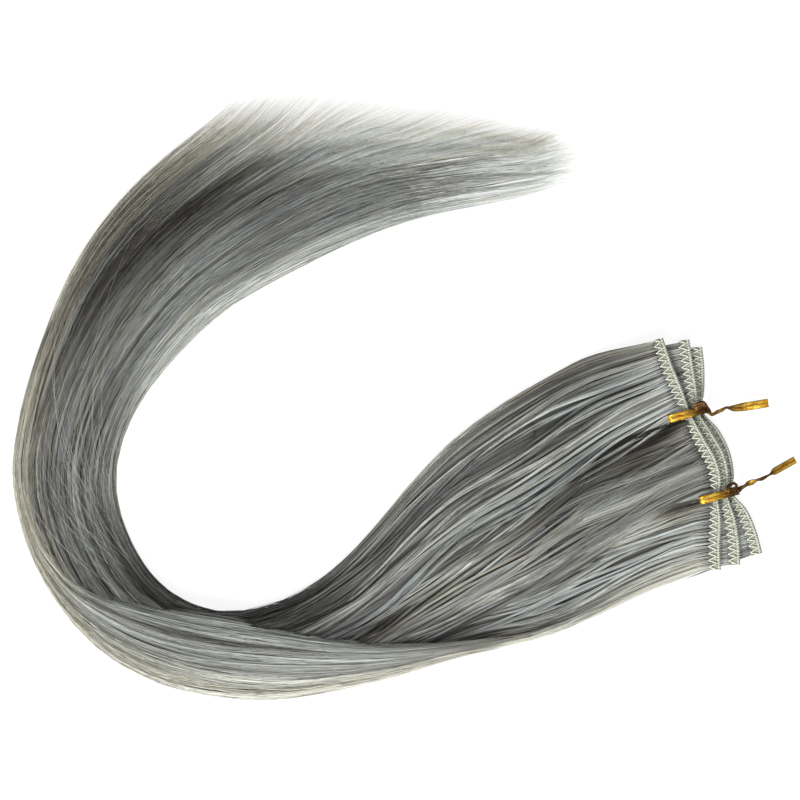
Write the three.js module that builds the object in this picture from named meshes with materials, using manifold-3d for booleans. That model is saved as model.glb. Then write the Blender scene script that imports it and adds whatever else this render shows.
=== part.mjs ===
// A hair weft bundle lying on a table: three sewn weft tracks stacked like shingles, gathered by two twist
// ties, and the long straight hair that leaves them, drawn together into one tail that curls round in a hook.
// Millimetres, +Z up. The table is the plane z = 0, and the origin is at the middle of the footprint.
import * as THREE from "three";
import { mergeVertices } from "three/addons/utils/BufferGeometryUtils.js";
import Module from "manifold-3d";

const wasm = await Module();
wasm.setup();
const { clamp, degToRad, lerp, smoothstep } = THREE.MathUtils;

// Weft track sizes
const TRACK_THICK = 1.8; // at the rolled hem
const TRACK_THIN = 1.2; // at the edge that the hair leaves
const TRACK_ROUNDED = 1.1; // height of the hem's outer side, under its rounded top
const LAYER_RISE = 2.1; // from one stacked track to the next
const TIE_LIFT = 1.0; // the tracks rise this far to let a tie pass under them
const LIFT_REACH = 0.9; // rows of a track's table over which that rise fades
const TRACK_STEPS = 3; // rings for each row of the table

// Section of a track, from the hem to the edge that the hair leaves: place across, as a share of its width
// from the middle line, and height above its underside.
const TRACK_SECTION = [
  { side: -0.5, height: TRACK_ROUNDED },
  { side: -0.44, height: TRACK_THICK },
  { side: -0.3, height: TRACK_THICK },
  { side: -0.2, height: TRACK_THIN },
  { side: 0.5, height: TRACK_THIN },
];

// Hair sizes
const GAP = 0.4; // between a track's edge and the hair that leaves it
const SHEET_THICK = 1.4; // hair where it leaves a track
const VALLEY = 0.6; // height between two locks, as a share of the tail's rise
const TAIL_DOME = 4; // power of the tail's rounding: higher is flatter on top
const EDGE_HEIGHT = 0.22; // height of the tail's widest line, as a share of its rise
const FOOT_INSET = 0.07; // how far the flat underside is set in from each edge, as a share of the width
const TOP_POINTS = 31; // points across the tail's upper side

// Twist tie sizes
const TIE_WIDTH = 3.5;
const TIE_THICK = 0.45;
const TIE_CORNER = 2.0; // outer corner radius of the loop
const CORNER_STEPS = 5;
const LOOP_LENGTH = 16.6;
const LOOP_HEIGHT = 7.7;
const LOOP_FLOOR = 0.1; // the loop's underside clears the table by this much

// The tail's plan and height. Each row is a section across the hair, from the roots to the tips: the outer and
// inner edge of the hook, and the rise above the table.
const TAIL_ROWS = [
  { outer: [102, -76.4], inner: [86, 20], rise: 0.4 },
  { outer: [78, -88.4], inner: [66, 12], rise: 8.5 },
  { outer: [54, -97.6], inner: [42, -0.4], rise: 10 },
  { outer: [30, -102.4], inner: [20, -16], rise: 10.5 },
  { outer: [10, -108.4], inner: [4, -32.8], rise: 11 },
  { outer: [-10, -114], inner: [-10, -50], rise: 11.5 },
  { outer: [-30, -118.4], inner: [-24, -64.8], rise: 12 },
  { outer: [-50, -121.2], inner: [-42, -78.8], rise: 12 },
  { outer: [-72, -120.8], inner: [-64, -86], rise: 12 },
  { outer: [-96, -115.6], inner: [-80, -85.2], rise: 12 },
  { outer: [-120, -103.2], inner: [-96, -76.8], rise: 12.5 },
  { outer: [-138, -84.4], inner: [-106, -64.8], rise: 13 },
  { outer: [-150.8, -60.8], inner: [-113.2, -48.8], rise: 13 },
  { outer: [-156.8, -33.6], inner: [-115.6, -33.6], rise: 13 },
  { outer: [-154, -7.6], inner: [-112.8, -17.6], rise: 12.5 },
  { outer: [-146, 20.4], inner: [-104, 0.4], rise: 12 },
  { outer: [-133.2, 51.2], inner: [-90, 17.2], rise: 11 },
  { outer: [-116, 76.4], inner: [-73.2, 33.2], rise: 10 },
  { outer: [-92, 99.2], inner: [-54, 44.8], rise: 9 },
  { outer: [-66, 116], inner: [-30, 57.2], rise: 8 },
  { outer: [-38, 118.4], inner: [-4, 68.4], rise: 7 },
  { outer: [-6, 115.2], inner: [18, 74], rise: 6 },
  { outer: [22, 112.4], inner: [38, 77.6], rise: 5 },
  { outer: [46, 107.2], inner: [54, 81.6], rise: 4 },
  { outer: [59, 105], inner: [62.6, 84.2], rise: 3 },
  { outer: [69, 102], inner: [70.6, 87], rise: 2 },
];
const TAIL_START_ROW = 0.5; // the tail starts inside the fans of hair that leave the tracks
const RINGS_PER_ROW = 2;

// Locks that make the ridges of the tail. Across runs from 0 at the outer edge to 1 at the inner edge.
const LOCKS = [
  { across: 0.09, half: 0.13, lift: 0.8 },
  { across: 0.27, half: 0.13, lift: 0.94 },
  { across: 0.44, half: 0.12, lift: 1.0 },
  { across: 0.6, half: 0.12, lift: 0.92 },
  { across: 0.76, half: 0.12, lift: 1.0 },
  { across: 0.91, half: 0.12, lift: 0.82 },
];
const LOCK_SWAY = 0.018; // sideways wander of a ridge, as a share of the width
const SWAY_PER_ROW = 0.8; // radians of that wander for each row
const SWAY_PER_LOCK = 2; // and from one lock to the next

// The lock that folds over the foot of the hook: its outer and inner edge, its underside and its crest.
const FOLD_ROWS = [
  { outer: [66, -92.6], inner: [66, -91.4], base: 2, crest: 5 },
  { outer: [46, -99.2], inner: [46, -95.2], base: 3, crest: 8.6 },
  { outer: [22, -104.4], inner: [20, -98], base: 4, crest: 11.4 },
  { outer: [-2, -112], inner: [-4, -98.4], base: 5, crest: 13.6 },
  { outer: [-26, -117.6], inner: [-28, -96], base: 6, crest: 15.2 },
  { outer: [-50, -121.2], inner: [-50, -92.4], base: 6, crest: 16 },
  { outer: [-72, -120.8], inner: [-68, -89.2], base: 6, crest: 16 },
  { outer: [-96, -115.6], inner: [-86, -86.4], base: 6, crest: 16 },
  { outer: [-120, -103.2], inner: [-106, -82.4], base: 6, crest: 15.6 },
  { outer: [-137, -85.6], inner: [-125, -76.8], base: 5, crest: 14.4 },
  { outer: [-148, -67.6], inner: [-140, -67.6], base: 4, crest: 12 },
  { outer: [-153, -51], inner: [-151, -51], base: 3, crest: 6 },
];
const FOLD_POINTS = 11; // points across the fold's upper side
const FOLD_EDGE = 0.3; // height of the fold's edges, as a share of its thickness
const FOLD_DOME = 3; // power of its rounding
const FOLD_INSET = 0.15; // how far its underside is set in from each edge, as a share of its width

// The row at which the hair ends, at even steps across from the outer to the inner edge: by turns the gap
// between two tip locks and the point of one.
const TIP_ENDS = [22.8, 24.1, 23.2, 24.4, 23.5, 24.8, 23.9, 25, 24.1, 25, 24, 24.9, 23.8, 24.6, 23.5, 23.1];
const TIP_START_ROW = 21;
const TIP_RINGS = 8;
const TIP_GAP_HEIGHT = 0.4; // height of the hair between two tip locks, as a share of a lock's

// The three weft tracks, from the top of the stack down. Each row is a point of the track's middle line.
// Rows 3 and 7 are where the ties gather it.
const TRACKS = {
  weft_track_top: [
    { at: [101, 22.8], width: 4.0 },
    { at: [104.6, 12], width: 4.4 },
    { at: [109, 1.4], width: 4.2 },
    { at: [112.6, -7.2], width: 3.0 },
    { at: [117.8, -18], width: 4.2 },
    { at: [122.2, -26], width: 4.4 },
    { at: [124.2, -34], width: 4.2 },
    { at: [123.6, -40.2], width: 3.0 },
    { at: [124, -50], width: 4.4 },
    { at: [123.6, -60], width: 4.4 },
    { at: [124, -69.6], width: 4.2 },
  ],
  weft_track_middle: [
    { at: [111.4, 22.4], width: 4.2 },
    { at: [113, 12], width: 4.4 },
    { at: [114.8, 1.4], width: 4.0 },
    { at: [115.8, -6.2], width: 3.0 },
    { at: [121, -15.8], width: 4.0 },
    { at: [125.6, -24], width: 4.2 },
    { at: [127.4, -32.4], width: 4.0 },
    { at: [127.4, -39.2], width: 3.0 },
    { at: [130, -50], width: 4.4 },
    { at: [131.4, -59], width: 4.4 },
    { at: [131.8, -68], width: 4.2 },
  ],
  weft_track_bottom: [
    { at: [116.6, 19.6], width: 4.2 },
    { at: [117.4, 10.8], width: 4.4 },
    { at: [117.4, 1], width: 4.0 },
    { at: [117.3, -5.8], width: 2.6 },
    { at: [124, -15], width: 4.0 },
    { at: [128, -23.6], width: 4.2 },
    { at: [129.4, -31.6], width: 4.0 },
    { at: [129.6, -38.8], width: 2.6 },
    { at: [134.8, -46.6], width: 4.2 },
    { at: [138.2, -54.4], width: 4.4 },
    { at: [140.8, -63.6], width: 4.2 },
  ],
};
const TIE_ROWS = [3, 7];

// Hair fans between the ties: the rows of a track that each one leaves, and the stretch of the tail it joins.
const FANS = [
  { rows: [0, 2.3], across: [0.97, 0.6] },
  { rows: [3.7, 6.2], across: [0.8, 0.26] },
  { rows: [7.55, 10], across: [0.42, 0.03] },
];
const FAN_JOIN_ROW = 1.3; // row of the tail's table at which the lowest layer's fans end, inside it
const FAN_JOIN_STEP = 0.22; // each layer above ends this much further on
const FAN_JOIN_HEIGHT = 0.5; // height of the lowest layer there, as a share of the tail's rise
const FAN_JOIN_RISE = 0.13; // and of each layer above that
const FAN_RINGS = 6;
const FAN_POINTS = 13;
const FAN_CLEAR = 0.6; // the lowest layer's underside inside the tail
const FAN_STAGGER = 0.25; // how much higher each layer above has its own
const FAN_SETTLE = 3; // the lowest layer leaves the table over one part in this many of its length
const FAN_DOME = 6; // power of a fan's rounding
const FAN_EDGE = 0.7; // height of a fan's sides, as a share of its middle
const FAN_RIDGES = 3; // shallow ridges along a fan
const FAN_RIPPLE = 0.12; // their depth, as a share of its height

// Twist ties: the loop's left end and direction in plan, and the twisted stem with its flat end.
const TIES = {
  twist_tie_upper: {
    left: [104.9, -9.3],
    heading: 15,
    stem: [
      { at: [120.6, -5.1, 3.9], width: 2.2, thick: 1.2, turn: 0 },
      { at: [122.4, -7.0, 4.3], width: 1.9, thick: 1.0, turn: 70 },
      { at: [125.6, -6.0, 4.8], width: 1.5, thick: 0.9, turn: 170 },
      { at: [128.4, -4.8, 4.6], width: 1.7, thick: 0.8, turn: 270 },
      { at: [131.6, -4.8, 4.2], width: 2.7, thick: 0.6, turn: 345 },
      { at: [136.0, -4.2, 3.8], width: 3.4, thick: 0.5, turn: 365 },
      { at: [145.2, -2.7, 3.4], width: 3.4, thick: 0.5, turn: 365 },
    ],
  },
  twist_tie_lower: {
    left: [117.4, -41.9],
    heading: 15,
    stem: [
      { at: [133.1, -37.7, 3.9], width: 2.2, thick: 1.2, turn: 0 },
      { at: [135.2, -36, 4.4], width: 1.8, thick: 1.0, turn: 80 },
      { at: [138.6, -34.4, 5.0], width: 2.0, thick: 0.8, turn: 200 },
      { at: [142.2, -33.2, 4.8], width: 1.7, thick: 0.8, turn: 300 },
      { at: [146.4, -31.0, 4.4], width: 1.3, thick: 0.8, turn: 390 },
      { at: [149.0, -29.6, 4.2], width: 2.4, thick: 0.6, turn: 420 },
      { at: [156.4, -25.3, 3.8], width: 2.6, thick: 0.5, turn: 425 },
    ],
  },
};
const STEM_STEPS = 5; // rings for each row of a stem's table

const MERGE_WITHIN = 1e-4; // vertices closer than this are one
const ROW_NUDGE = 0.03; // step along a table, in rows, that finds a direction

// The tables above are measured from a point this far from the middle of the footprint.
const FOOTPRINT_MIDDLE = [0, -1.55];

const material = (color, roughness, metalness) =>
  new THREE.MeshStandardMaterial({ color, roughness, metalness });
const HAIR_GREY = material(0x8a8c88, 0.42, 0);
const TRACK_SAGE = material(0xb4b8a6, 0.8, 0);
const TIE_GOLD = material(0xc98f22, 0.25, 0.7);

// A closed body through a list of rings with the same even number of points. Each ring runs clockwise as seen
// by someone who looks along the body, over the top and back underneath, and a strip closes each end.
function loft(rings) {
  const count = rings[0].length;
  const points = rings.flat();
  const triangles = [];
  const quad = (a, b, c, d) => triangles.push(a, b, c, a, c, d);
  for (let r = 0; r + 1 < rings.length; r++)
    for (let i = 0; i < count; i++) {
      const here = r * count + i;
      const next = r * count + ((i + 1) % count);
      quad(here, next, next + count, here + count);
    }
  const end = points.length - count;
  for (let i = 0; i + 1 < count / 2; i++) {
    quad(count - 1 - i, count - 2 - i, i + 1, i);
    quad(end + i, end + i + 1, end + count - 2 - i, end + count - 1 - i);
  }
  const geometry = new THREE.BufferGeometry().setFromPoints(points);
  geometry.setIndex(triangles);
  return geometry;
}

// The geometry as a solid that can be joined and cut, and back again.
function solidOf(geometry) {
  const bare = geometry.clone();
  bare.deleteAttribute("normal");
  bare.deleteAttribute("uv");
  const merged = mergeVertices(bare, MERGE_WITHIN);
  const mesh = new wasm.Mesh({
    numProp: 3,
    vertProperties: new Float32Array(merged.attributes.position.array),
    triVerts: new Uint32Array(merged.index.array),
  });
  return new wasm.Manifold(mesh);
}

function geometryOf(solid) {
  const mesh = solid.getMesh();
  const geometry = new THREE.BufferGeometry();
  geometry.setAttribute("position", new THREE.BufferAttribute(mesh.vertProperties, 3));
  geometry.setIndex(new THREE.BufferAttribute(mesh.triVerts, 1));
  return geometry;
}

const fuse = (geometries) => geometryOf(geometries.map(solidOf).reduce((all, one) => all.add(one)));

// A smooth curve through table rows, asked for by row number, whole or not.
function through(points) {
  const curve = new THREE.CatmullRomCurve3(points, false, "centripetal");
  return (row) => curve.getPoint(clamp(row / (points.length - 1), 0, 1));
}

const span = (count) => Array.from({ length: count }, (_, i) => i / (count - 1));
const dome = (share, power) => Math.sqrt(Math.max(0, 1 - Math.abs(2 * share - 1) ** power));

// The plan of the tail: the point at a row, a share of the way from the outer to the inner edge. Its z is the
// rise there.
const outerEdge = through(TAIL_ROWS.map((row) => new THREE.Vector3(...row.outer, row.rise)));
const innerEdge = through(TAIL_ROWS.map((row) => new THREE.Vector3(...row.inner, row.rise)));
const tailAt = (row, across) => outerEdge(row).lerp(innerEdge(row), across);

// Height of the tail's upper side: the highest of its locks, or the valley between them.
function tailTop(row, across) {
  const ridges = LOCKS.map((lock, i) => {
    const middle = lock.across + LOCK_SWAY * Math.sin(row * SWAY_PER_ROW + i * SWAY_PER_LOCK);
    const off = (across - middle) / lock.half;
    return lock.lift * Math.sqrt(Math.max(0, 1 - off * off));
  });
  const share = Math.max(VALLEY, ...ridges) * dome(across, TAIL_DOME);
  return tailAt(row, across).z * Math.max(EDGE_HEIGHT, share);
}

// A section of the tail, whose row may change across it: over the top from the outer to the inner edge, then
// back along the flat foot.
function tailRing(rowAt, heightAt) {
  const sides = span(TOP_POINTS);
  const top = sides.map((across) => tailAt(rowAt(across), across).setZ(heightAt(across)));
  const foot = sides.toReversed().map((side) => {
    const across = lerp(FOOT_INSET, 1 - FOOT_INSET, side);
    return tailAt(rowAt(side), across).setZ(0);
  });
  return [...top, ...foot];
}

// The row at which the hair ends, and whether that is the point of a tip lock (1) or the gap beside it (0).
function tipAt(across) {
  const step = across * (TIP_ENDS.length - 1);
  const before = Math.min(Math.floor(step), TIP_ENDS.length - 2);
  const share = step - before;
  return {
    ends: lerp(TIP_ENDS[before], TIP_ENDS[before + 1], share),
    point: before % 2 ? 1 - share : share,
  };
}

// The tail, and past it the tip locks that it splits into.
function tail() {
  const bodyRings = (TIP_START_ROW - TAIL_START_ROW) * RINGS_PER_ROW + 1;
  const body = span(bodyRings).map((share) => {
    const row = lerp(TAIL_START_ROW, TIP_START_ROW, share);
    return tailRing(() => row, (across) => tailTop(row, across));
  });
  const tips = span(TIP_RINGS + 1).slice(1).map((share) => {
    const rowAt = (across) => lerp(TIP_START_ROW, tipAt(across).ends, share);
    const heightAt = (across) => {
      const split = lerp(TIP_GAP_HEIGHT, 1, tipAt(across).point);
      return tailTop(rowAt(across), across) * lerp(1, split, share);
    };
    return tailRing(rowAt, heightAt);
  });
  return loft([...body, ...tips]);
}

// The folded lock, a lens in section that lies on the tail.
function fold() {
  const outer = through(FOLD_ROWS.map((row) => new THREE.Vector3(...row.outer, row.base)));
  const inner = through(FOLD_ROWS.map((row) => new THREE.Vector3(...row.inner, row.crest)));
  const last = FOLD_ROWS.length - 1;
  const rings = span(last * RINGS_PER_ROW + 1).map((share) => {
    const from = outer(share * last);
    const to = inner(share * last);
    const at = (across, height) =>
      from.clone().lerp(to, across).setZ(lerp(from.z, to.z, height));
    const sides = span(FOLD_POINTS);
    const top = sides.map((across) => at(across, Math.max(FOLD_EDGE, dome(across, FOLD_DOME))));
    const foot = sides.toReversed().map((across) => at(lerp(FOLD_INSET, 1 - FOLD_INSET, across), 0));
    return [...top, ...foot];
  });
  return loft(rings);
}

// A weft track's middle line and width by row, lifted where the ties pass under it.
function trackLine(rows, layer) {
  const line = through(rows.map((row) => new THREE.Vector3(...row.at, row.width)));
  return (row) => {
    const point = line(row);
    const lift = TIE_ROWS.map((tie) => Math.max(0, 1 - Math.abs(row - tie) / LIFT_REACH));
    const base = layer * LAYER_RISE + TIE_LIFT * smoothstep(Math.max(...lift), 0, 1);
    const along = line(row + ROW_NUDGE).sub(line(row - ROW_NUDGE)).setZ(0).normalize();
    const toHair = new THREE.Vector3(along.y, -along.x, 0);
    return { point: point.clone().setZ(base), width: point.z, toHair };
  };
}

// The sewn band: thin at the edge that the hair leaves, thick at the rolled hem.
function track(rows, layer) {
  const line = trackLine(rows, layer);
  const last = rows.length - 1;
  const rings = span(last * TRACK_STEPS + 1).map((share) => {
    const { point, width, toHair } = line(share * last);
    const at = (side, height) => {
      const place = point.clone().addScaledVector(toHair, side * width);
      return place.setZ(point.z + height);
    };
    const top = TRACK_SECTION.map(({ side, height }) => at(side, height));
    const underside = TRACK_SECTION.toReversed().map(({ side }) => at(side, 0));
    return [...top, ...underside];
  });
  return loft(rings);
}

// The hair between two ties, ruled from the edge of a track to a stretch of the tail.
function fan(rows, layer, { rows: [first, last], across: [from, to] }) {
  const line = trackLine(rows, layer);
  const rings = span(FAN_RINGS).map((share) => {
    const at = (side, isTop) => {
      const { point, width, toHair } = line(lerp(first, last, side));
      const root = point.addScaledVector(toHair, width / 2 + GAP);
      const join = tailAt(FAN_JOIN_ROW + layer * FAN_JOIN_STEP, lerp(from, to, side));
      const joinTop = join.z * (FAN_JOIN_HEIGHT + layer * FAN_JOIN_RISE);
      const ripple = 1 - FAN_RIPPLE * Math.cos(side * Math.PI * FAN_RIDGES + layer) ** 2;
      const rounding = Math.max(FAN_EDGE, dome(side, FAN_DOME));
      const top = lerp(root.z + SHEET_THICK, joinTop, share) * ripple * rounding;
      const settled = layer ? 1 : Math.min(1, share * FAN_SETTLE);
      const underside = (FAN_CLEAR + layer * FAN_STAGGER) * settled;
      return root.lerp(join, share).setZ(isTop ? top : underside);
    };
    const sides = span(FAN_POINTS);
    return [...sides.toReversed().map((side) => at(side, true)), ...sides.map((side) => at(side, false))];
  });
  return loft(rings);
}

function hair() {
  const layers = Object.values(TRACKS);
  const fans = layers.flatMap((rows, i) => FANS.map((one) => fan(rows, layers.length - 1 - i, one)));
  return fuse([tail(), fold(), ...fans]);
}

// The loop of a tie: a flat ring standing on edge, with its hole where the gathered tracks pass.
function tieLoop({ left, heading }) {
  const roundedBox = (path, inset) => {
    const radius = TIE_CORNER - inset;
    const [x0, x1] = [inset, LOOP_LENGTH - inset];
    const [z0, z1] = [inset, LOOP_HEIGHT - inset];
    path.moveTo(x0 + radius, z0);
    path.lineTo(x1 - radius, z0);
    path.absarc(x1 - radius, z0 + radius, radius, -Math.PI / 2, 0);
    path.lineTo(x1, z1 - radius);
    path.absarc(x1 - radius, z1 - radius, radius, 0, Math.PI / 2);
    path.lineTo(x0 + radius, z1);
    path.absarc(x0 + radius, z1 - radius, radius, Math.PI / 2, Math.PI);
    path.lineTo(x0, z0 + radius);
    path.absarc(x0 + radius, z0 + radius, radius, Math.PI, 1.5 * Math.PI);
    return path;
  };
  const ring = roundedBox(new THREE.Shape(), 0);
  ring.holes.push(roundedBox(new THREE.Path(), TIE_THICK));
  const loop = new THREE.ExtrudeGeometry(ring, {
    depth: TIE_WIDTH,
    bevelEnabled: false,
    curveSegments: CORNER_STEPS,
  });
  loop.translate(0, 0, -TIE_WIDTH / 2).rotateX(Math.PI / 2);
  loop.rotateZ(degToRad(heading));
  return loop.translate(...left, LOOP_FLOOR);
}

// The two ends of a tie twisted together, then lying flat.
function tieStem({ stem }) {
  const path = through(stem.map((row) => new THREE.Vector3(...row.at)));
  const shape = through(stem.map((row) => new THREE.Vector3(row.width, row.thick, row.turn)));
  const last = stem.length - 1;
  const rings = span(last * STEM_STEPS + 1).map((share) => {
    const row = share * last;
    const forward = path(row + ROW_NUDGE).sub(path(row - ROW_NUDGE)).normalize();
    const { x: width, y: thick, z: turn } = shape(row);
    const flat = new THREE.Vector3(-forward.y, forward.x, 0).normalize();
    const side = flat.applyAxisAngle(forward, degToRad(turn));
    const up = new THREE.Vector3().crossVectors(forward, side);
    const corner = (s, u) =>
      path(row).addScaledVector(side, (s * width) / 2).addScaledVector(up, (u * thick) / 2);
    return [corner(1, 1), corner(-1, 1), corner(-1, -1), corner(1, -1)];
  });
  return loft(rings);
}

function named(name, geometry, finish) {
  geometry.translate(-FOOTPRINT_MIDDLE[0], -FOOTPRINT_MIDDLE[1], 0);
  geometry.computeVertexNormals();
  const mesh = new THREE.Mesh(geometry, finish);
  mesh.name = name;
  return mesh;
}

const bundle = new THREE.Group();
bundle.add(named("hair_tail", hair(), HAIR_GREY));
Object.entries(TRACKS).forEach(([name, rows], i, all) => {
  bundle.add(named(name, track(rows, all.length - 1 - i), TRACK_SAGE));
});
for (const [name, tie] of Object.entries(TIES))
  bundle.add(named(name, fuse([tieLoop(tie), tieStem(tie)]), TIE_GOLD));

export default bundle;
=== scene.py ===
import math

import bpy
import numpy as np
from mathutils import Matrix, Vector


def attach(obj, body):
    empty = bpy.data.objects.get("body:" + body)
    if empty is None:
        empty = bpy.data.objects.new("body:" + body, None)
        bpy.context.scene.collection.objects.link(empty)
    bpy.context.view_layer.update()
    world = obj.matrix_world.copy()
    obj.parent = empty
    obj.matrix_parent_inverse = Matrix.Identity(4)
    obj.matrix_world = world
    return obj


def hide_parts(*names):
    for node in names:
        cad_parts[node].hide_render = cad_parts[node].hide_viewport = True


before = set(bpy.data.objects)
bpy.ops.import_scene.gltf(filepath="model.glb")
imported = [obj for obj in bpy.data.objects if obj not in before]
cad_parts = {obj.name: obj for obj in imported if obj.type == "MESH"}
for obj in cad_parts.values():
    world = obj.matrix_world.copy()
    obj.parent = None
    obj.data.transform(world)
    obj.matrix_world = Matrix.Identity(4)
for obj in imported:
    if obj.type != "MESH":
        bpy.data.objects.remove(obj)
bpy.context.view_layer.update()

# The scene is worked out in millimetres, in the plan of the tables below, and turned into metres as each
# mesh is made.
MM = 0.001
FOOTPRINT_MIDDLE = np.array([0.0, -1.55, 0.0])
SEED = 41
TINY = 1e-9

# Sections across the tail, from the roots to the tips: outer edge x and y, inner edge x and y, rise.
TAIL_ROWS = np.array([
    (102, -76.4, 86, 20, 0.4),
    (78, -88.4, 66, 12, 8.5),
    (54, -97.6, 42, -0.4, 10),
    (30, -102.4, 20, -16, 10.5),
    (10, -108.4, 4, -32.8, 11),
    (-10, -114, -10, -50, 11.5),
    (-30, -118.4, -24, -64.8, 12),
    (-50, -121.2, -42, -78.8, 12),
    (-72, -120.8, -64, -86, 12),
    (-96, -115.6, -80, -85.2, 12),
    (-120, -103.2, -96, -76.8, 12.5),
    (-138, -84.4, -106, -64.8, 13),
    (-150.8, -60.8, -113.2, -48.8, 13),
    (-156.8, -33.6, -115.6, -33.6, 13),
    (-154, -7.6, -112.8, -17.6, 12.5),
    (-146, 20.4, -104, 0.4, 12),
    (-133.2, 51.2, -90, 17.2, 11),
    (-116, 76.4, -73.2, 33.2, 10),
    (-92, 99.2, -54, 44.8, 9),
    (-66, 116, -30, 57.2, 8),
    (-38, 118.4, -4, 68.4, 7),
    (-6, 115.2, 18, 74, 6),
    (22, 112.4, 38, 77.6, 5),
    (46, 107.2, 54, 81.6, 4),
    (59, 105, 62.6, 84.2, 3),
    (69, 102, 70.6, 87, 2),
])
TAIL_DOME = 4
EDGE_HEIGHT = 0.22
FOOT_INSET = 0.07
VALLEY = 0.66
LOCK_SWAY = 0.018
SWAY_PER_ROW = 0.8
SWAY_PER_LOCK = 2
# Ridges of the tail: place across, half width, height.
LOCKS = [
    (0.09, 0.13, 0.8),
    (0.27, 0.13, 0.94),
    (0.44, 0.12, 1.0),
    (0.6, 0.12, 0.92),
    (0.76, 0.12, 1.0),
    (0.91, 0.12, 0.82),
]

# The lock folded over the foot of the hook: outer x and y, inner x and y, underside, crest.
FOLD_ROWS = np.array([
    (66, -92.6, 66, -91.4, 2, 5),
    (46, -99.2, 46, -95.2, 3, 8.6),
    (22, -104.4, 20, -98, 4, 11.4),
    (-2, -112, -4, -98.4, 5, 13.6),
    (-26, -117.6, -28, -96, 6, 15.2),
    (-50, -121.2, -50, -92.4, 6, 16),
    (-72, -120.8, -68, -89.2, 6, 16),
    (-96, -115.6, -86, -86.4, 6, 16),
    (-120, -103.2, -106, -82.4, 6, 15.6),
    (-137, -85.6, -125, -76.8, 5, 14.4),
    (-148, -67.6, -140, -67.6, 4, 12),
    (-153, -51, -151, -51, 3, 6),
])
FOLD_DOME = 3
FOLD_EDGE = 0.3

# The row of the tail at which the hair ends, at even steps across: by turns a gap and the point of a lock.
TIP_ENDS = [24.2, 24.6, 24.2, 24.8, 24.5, 25.1, 24.6, 25.2, 24.6, 25.1, 24.7, 25.2, 24.6, 24.9, 24.4, 24.2]
TIP_SIDES = (-0.26, 1)

# The weft tracks, from the lowest layer up: x and y of the middle line, width.
TRACKS = {
    "bottom": np.array([
        (116.6, 19.6, 4.2),
        (117.4, 10.8, 4.4),
        (117.4, 1, 4.0),
        (117.3, -5.8, 2.6),
        (124, -15, 4.0),
        (128, -23.6, 4.2),
        (129.4, -31.6, 4.0),
        (129.6, -38.8, 2.6),
        (134.8, -46.6, 4.2),
        (138.2, -54.4, 4.4),
        (140.8, -63.6, 4.2),
    ]),
    "middle": np.array([
        (111.4, 22.4, 4.2),
        (113, 12, 4.4),
        (114.8, 1.4, 4.0),
        (115.8, -6.2, 3.0),
        (121, -15.8, 4.0),
        (125.6, -24, 4.2),
        (127.4, -32.4, 4.0),
        (127.4, -39.2, 3.0),
        (130, -50, 4.4),
        (131.4, -59, 4.4),
        (131.8, -68, 4.2),
    ]),
    "top": np.array([
        (101, 22.8, 4.0),
        (104.6, 12, 4.4),
        (109, 1.4, 4.2),
        (112.6, -7.2, 3.0),
        (117.8, -18, 4.2),
        (122.2, -26, 4.4),
        (124.2, -34, 4.2),
        (123.6, -40.2, 3.0),
        (124, -50, 4.4),
        (123.6, -60, 4.4),
        (124, -69.6, 4.2),
    ]),
}
LAYERS = list(TRACKS)
TOP_LAYER = LAYERS.index("top")
LAYER_RISE = 2.1
TIE_ROWS = (3, 7)
TIE_LIFT = 1.0
LIFT_REACH = 0.9
TRACK_THIN = 1.2

# Fans of hair between the ties: first and last row of the track, first and last place across the tail, how
# deep the fan lies under its neighbour, and how far its first and last hair slides down across the tail.
FANS = {
    "upper": (0.05, 2.98, 0.995, 0.56, 0.0, 0.0, 0.26),
    "middle": (3.02, 6.98, 0.64, 0.24, 0.8, 0.34, 0.22),
    "lower": (7.02, 9.95, 0.34, 0.008, 1.4, 0.14, 0.0),
}

rng = np.random.default_rng(SEED)


def span(count):
    return np.linspace(0, 1, count)


def lerp(a, b, share):
    return a + (b - a) * share


def smooth(share):
    share = np.clip(share, 0, 1)
    return share * share * (3 - 2 * share)


def bell(share):
    return np.exp(-(share**2))


def unit(vectors):
    return vectors / (np.linalg.norm(vectors, axis=-1, keepdims=True) + TINY)


def hermite(start, end, leave, arrive, share):
    """The cubic that starts and ends at two points, in the two given directions."""
    a = 2 * start - 2 * end + leave + arrive
    b = -3 * start + 3 * end - 2 * leave - arrive
    return ((a * share + b) * share + leave) * share + start


# Under this step, two rows of a table count as the same place.
NO_STEP = 1e-4


def through(table, row):
    """The centripetal Catmull-Rom curve through a table, at row numbers, whole or not."""
    row = np.asarray(row, float)
    ends = np.vstack([2 * table[0] - table[1], table, 2 * table[-1] - table[-2]])
    first = np.clip(np.floor(row).astype(int), 0, len(table) - 2)
    a, b, c, d = (ends[first + k] for k in range(4))
    pairs = ((a, b), (b, c), (c, d))
    ab, bc, cd = (np.sqrt(np.linalg.norm(q - p, axis=-1, keepdims=True)) for p, q in pairs)
    bc = np.where(bc < NO_STEP, 1, bc)
    ab = np.where(ab < NO_STEP, bc, ab)
    cd = np.where(cd < NO_STEP, bc, cd)
    leave = ((b - a) / ab - (c - a) / (ab + bc) + (c - b) / bc) * bc
    arrive = ((c - b) / bc - (d - b) / (bc + cd) + (d - c) / cd) * bc
    return hermite(b, c, leave, arrive, (row - first)[..., None])


def dome(share, power):
    return np.sqrt(np.maximum(0, 1 - np.abs(2 * share - 1) ** power))


def with_height(plan, height):
    return np.concatenate([plan[..., :2], np.asarray(height, float)[..., None]], axis=-1)


TAIL_OUTER = TAIL_ROWS[:, [0, 1, 4]]
TAIL_INNER = TAIL_ROWS[:, [2, 3, 4]]


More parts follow.
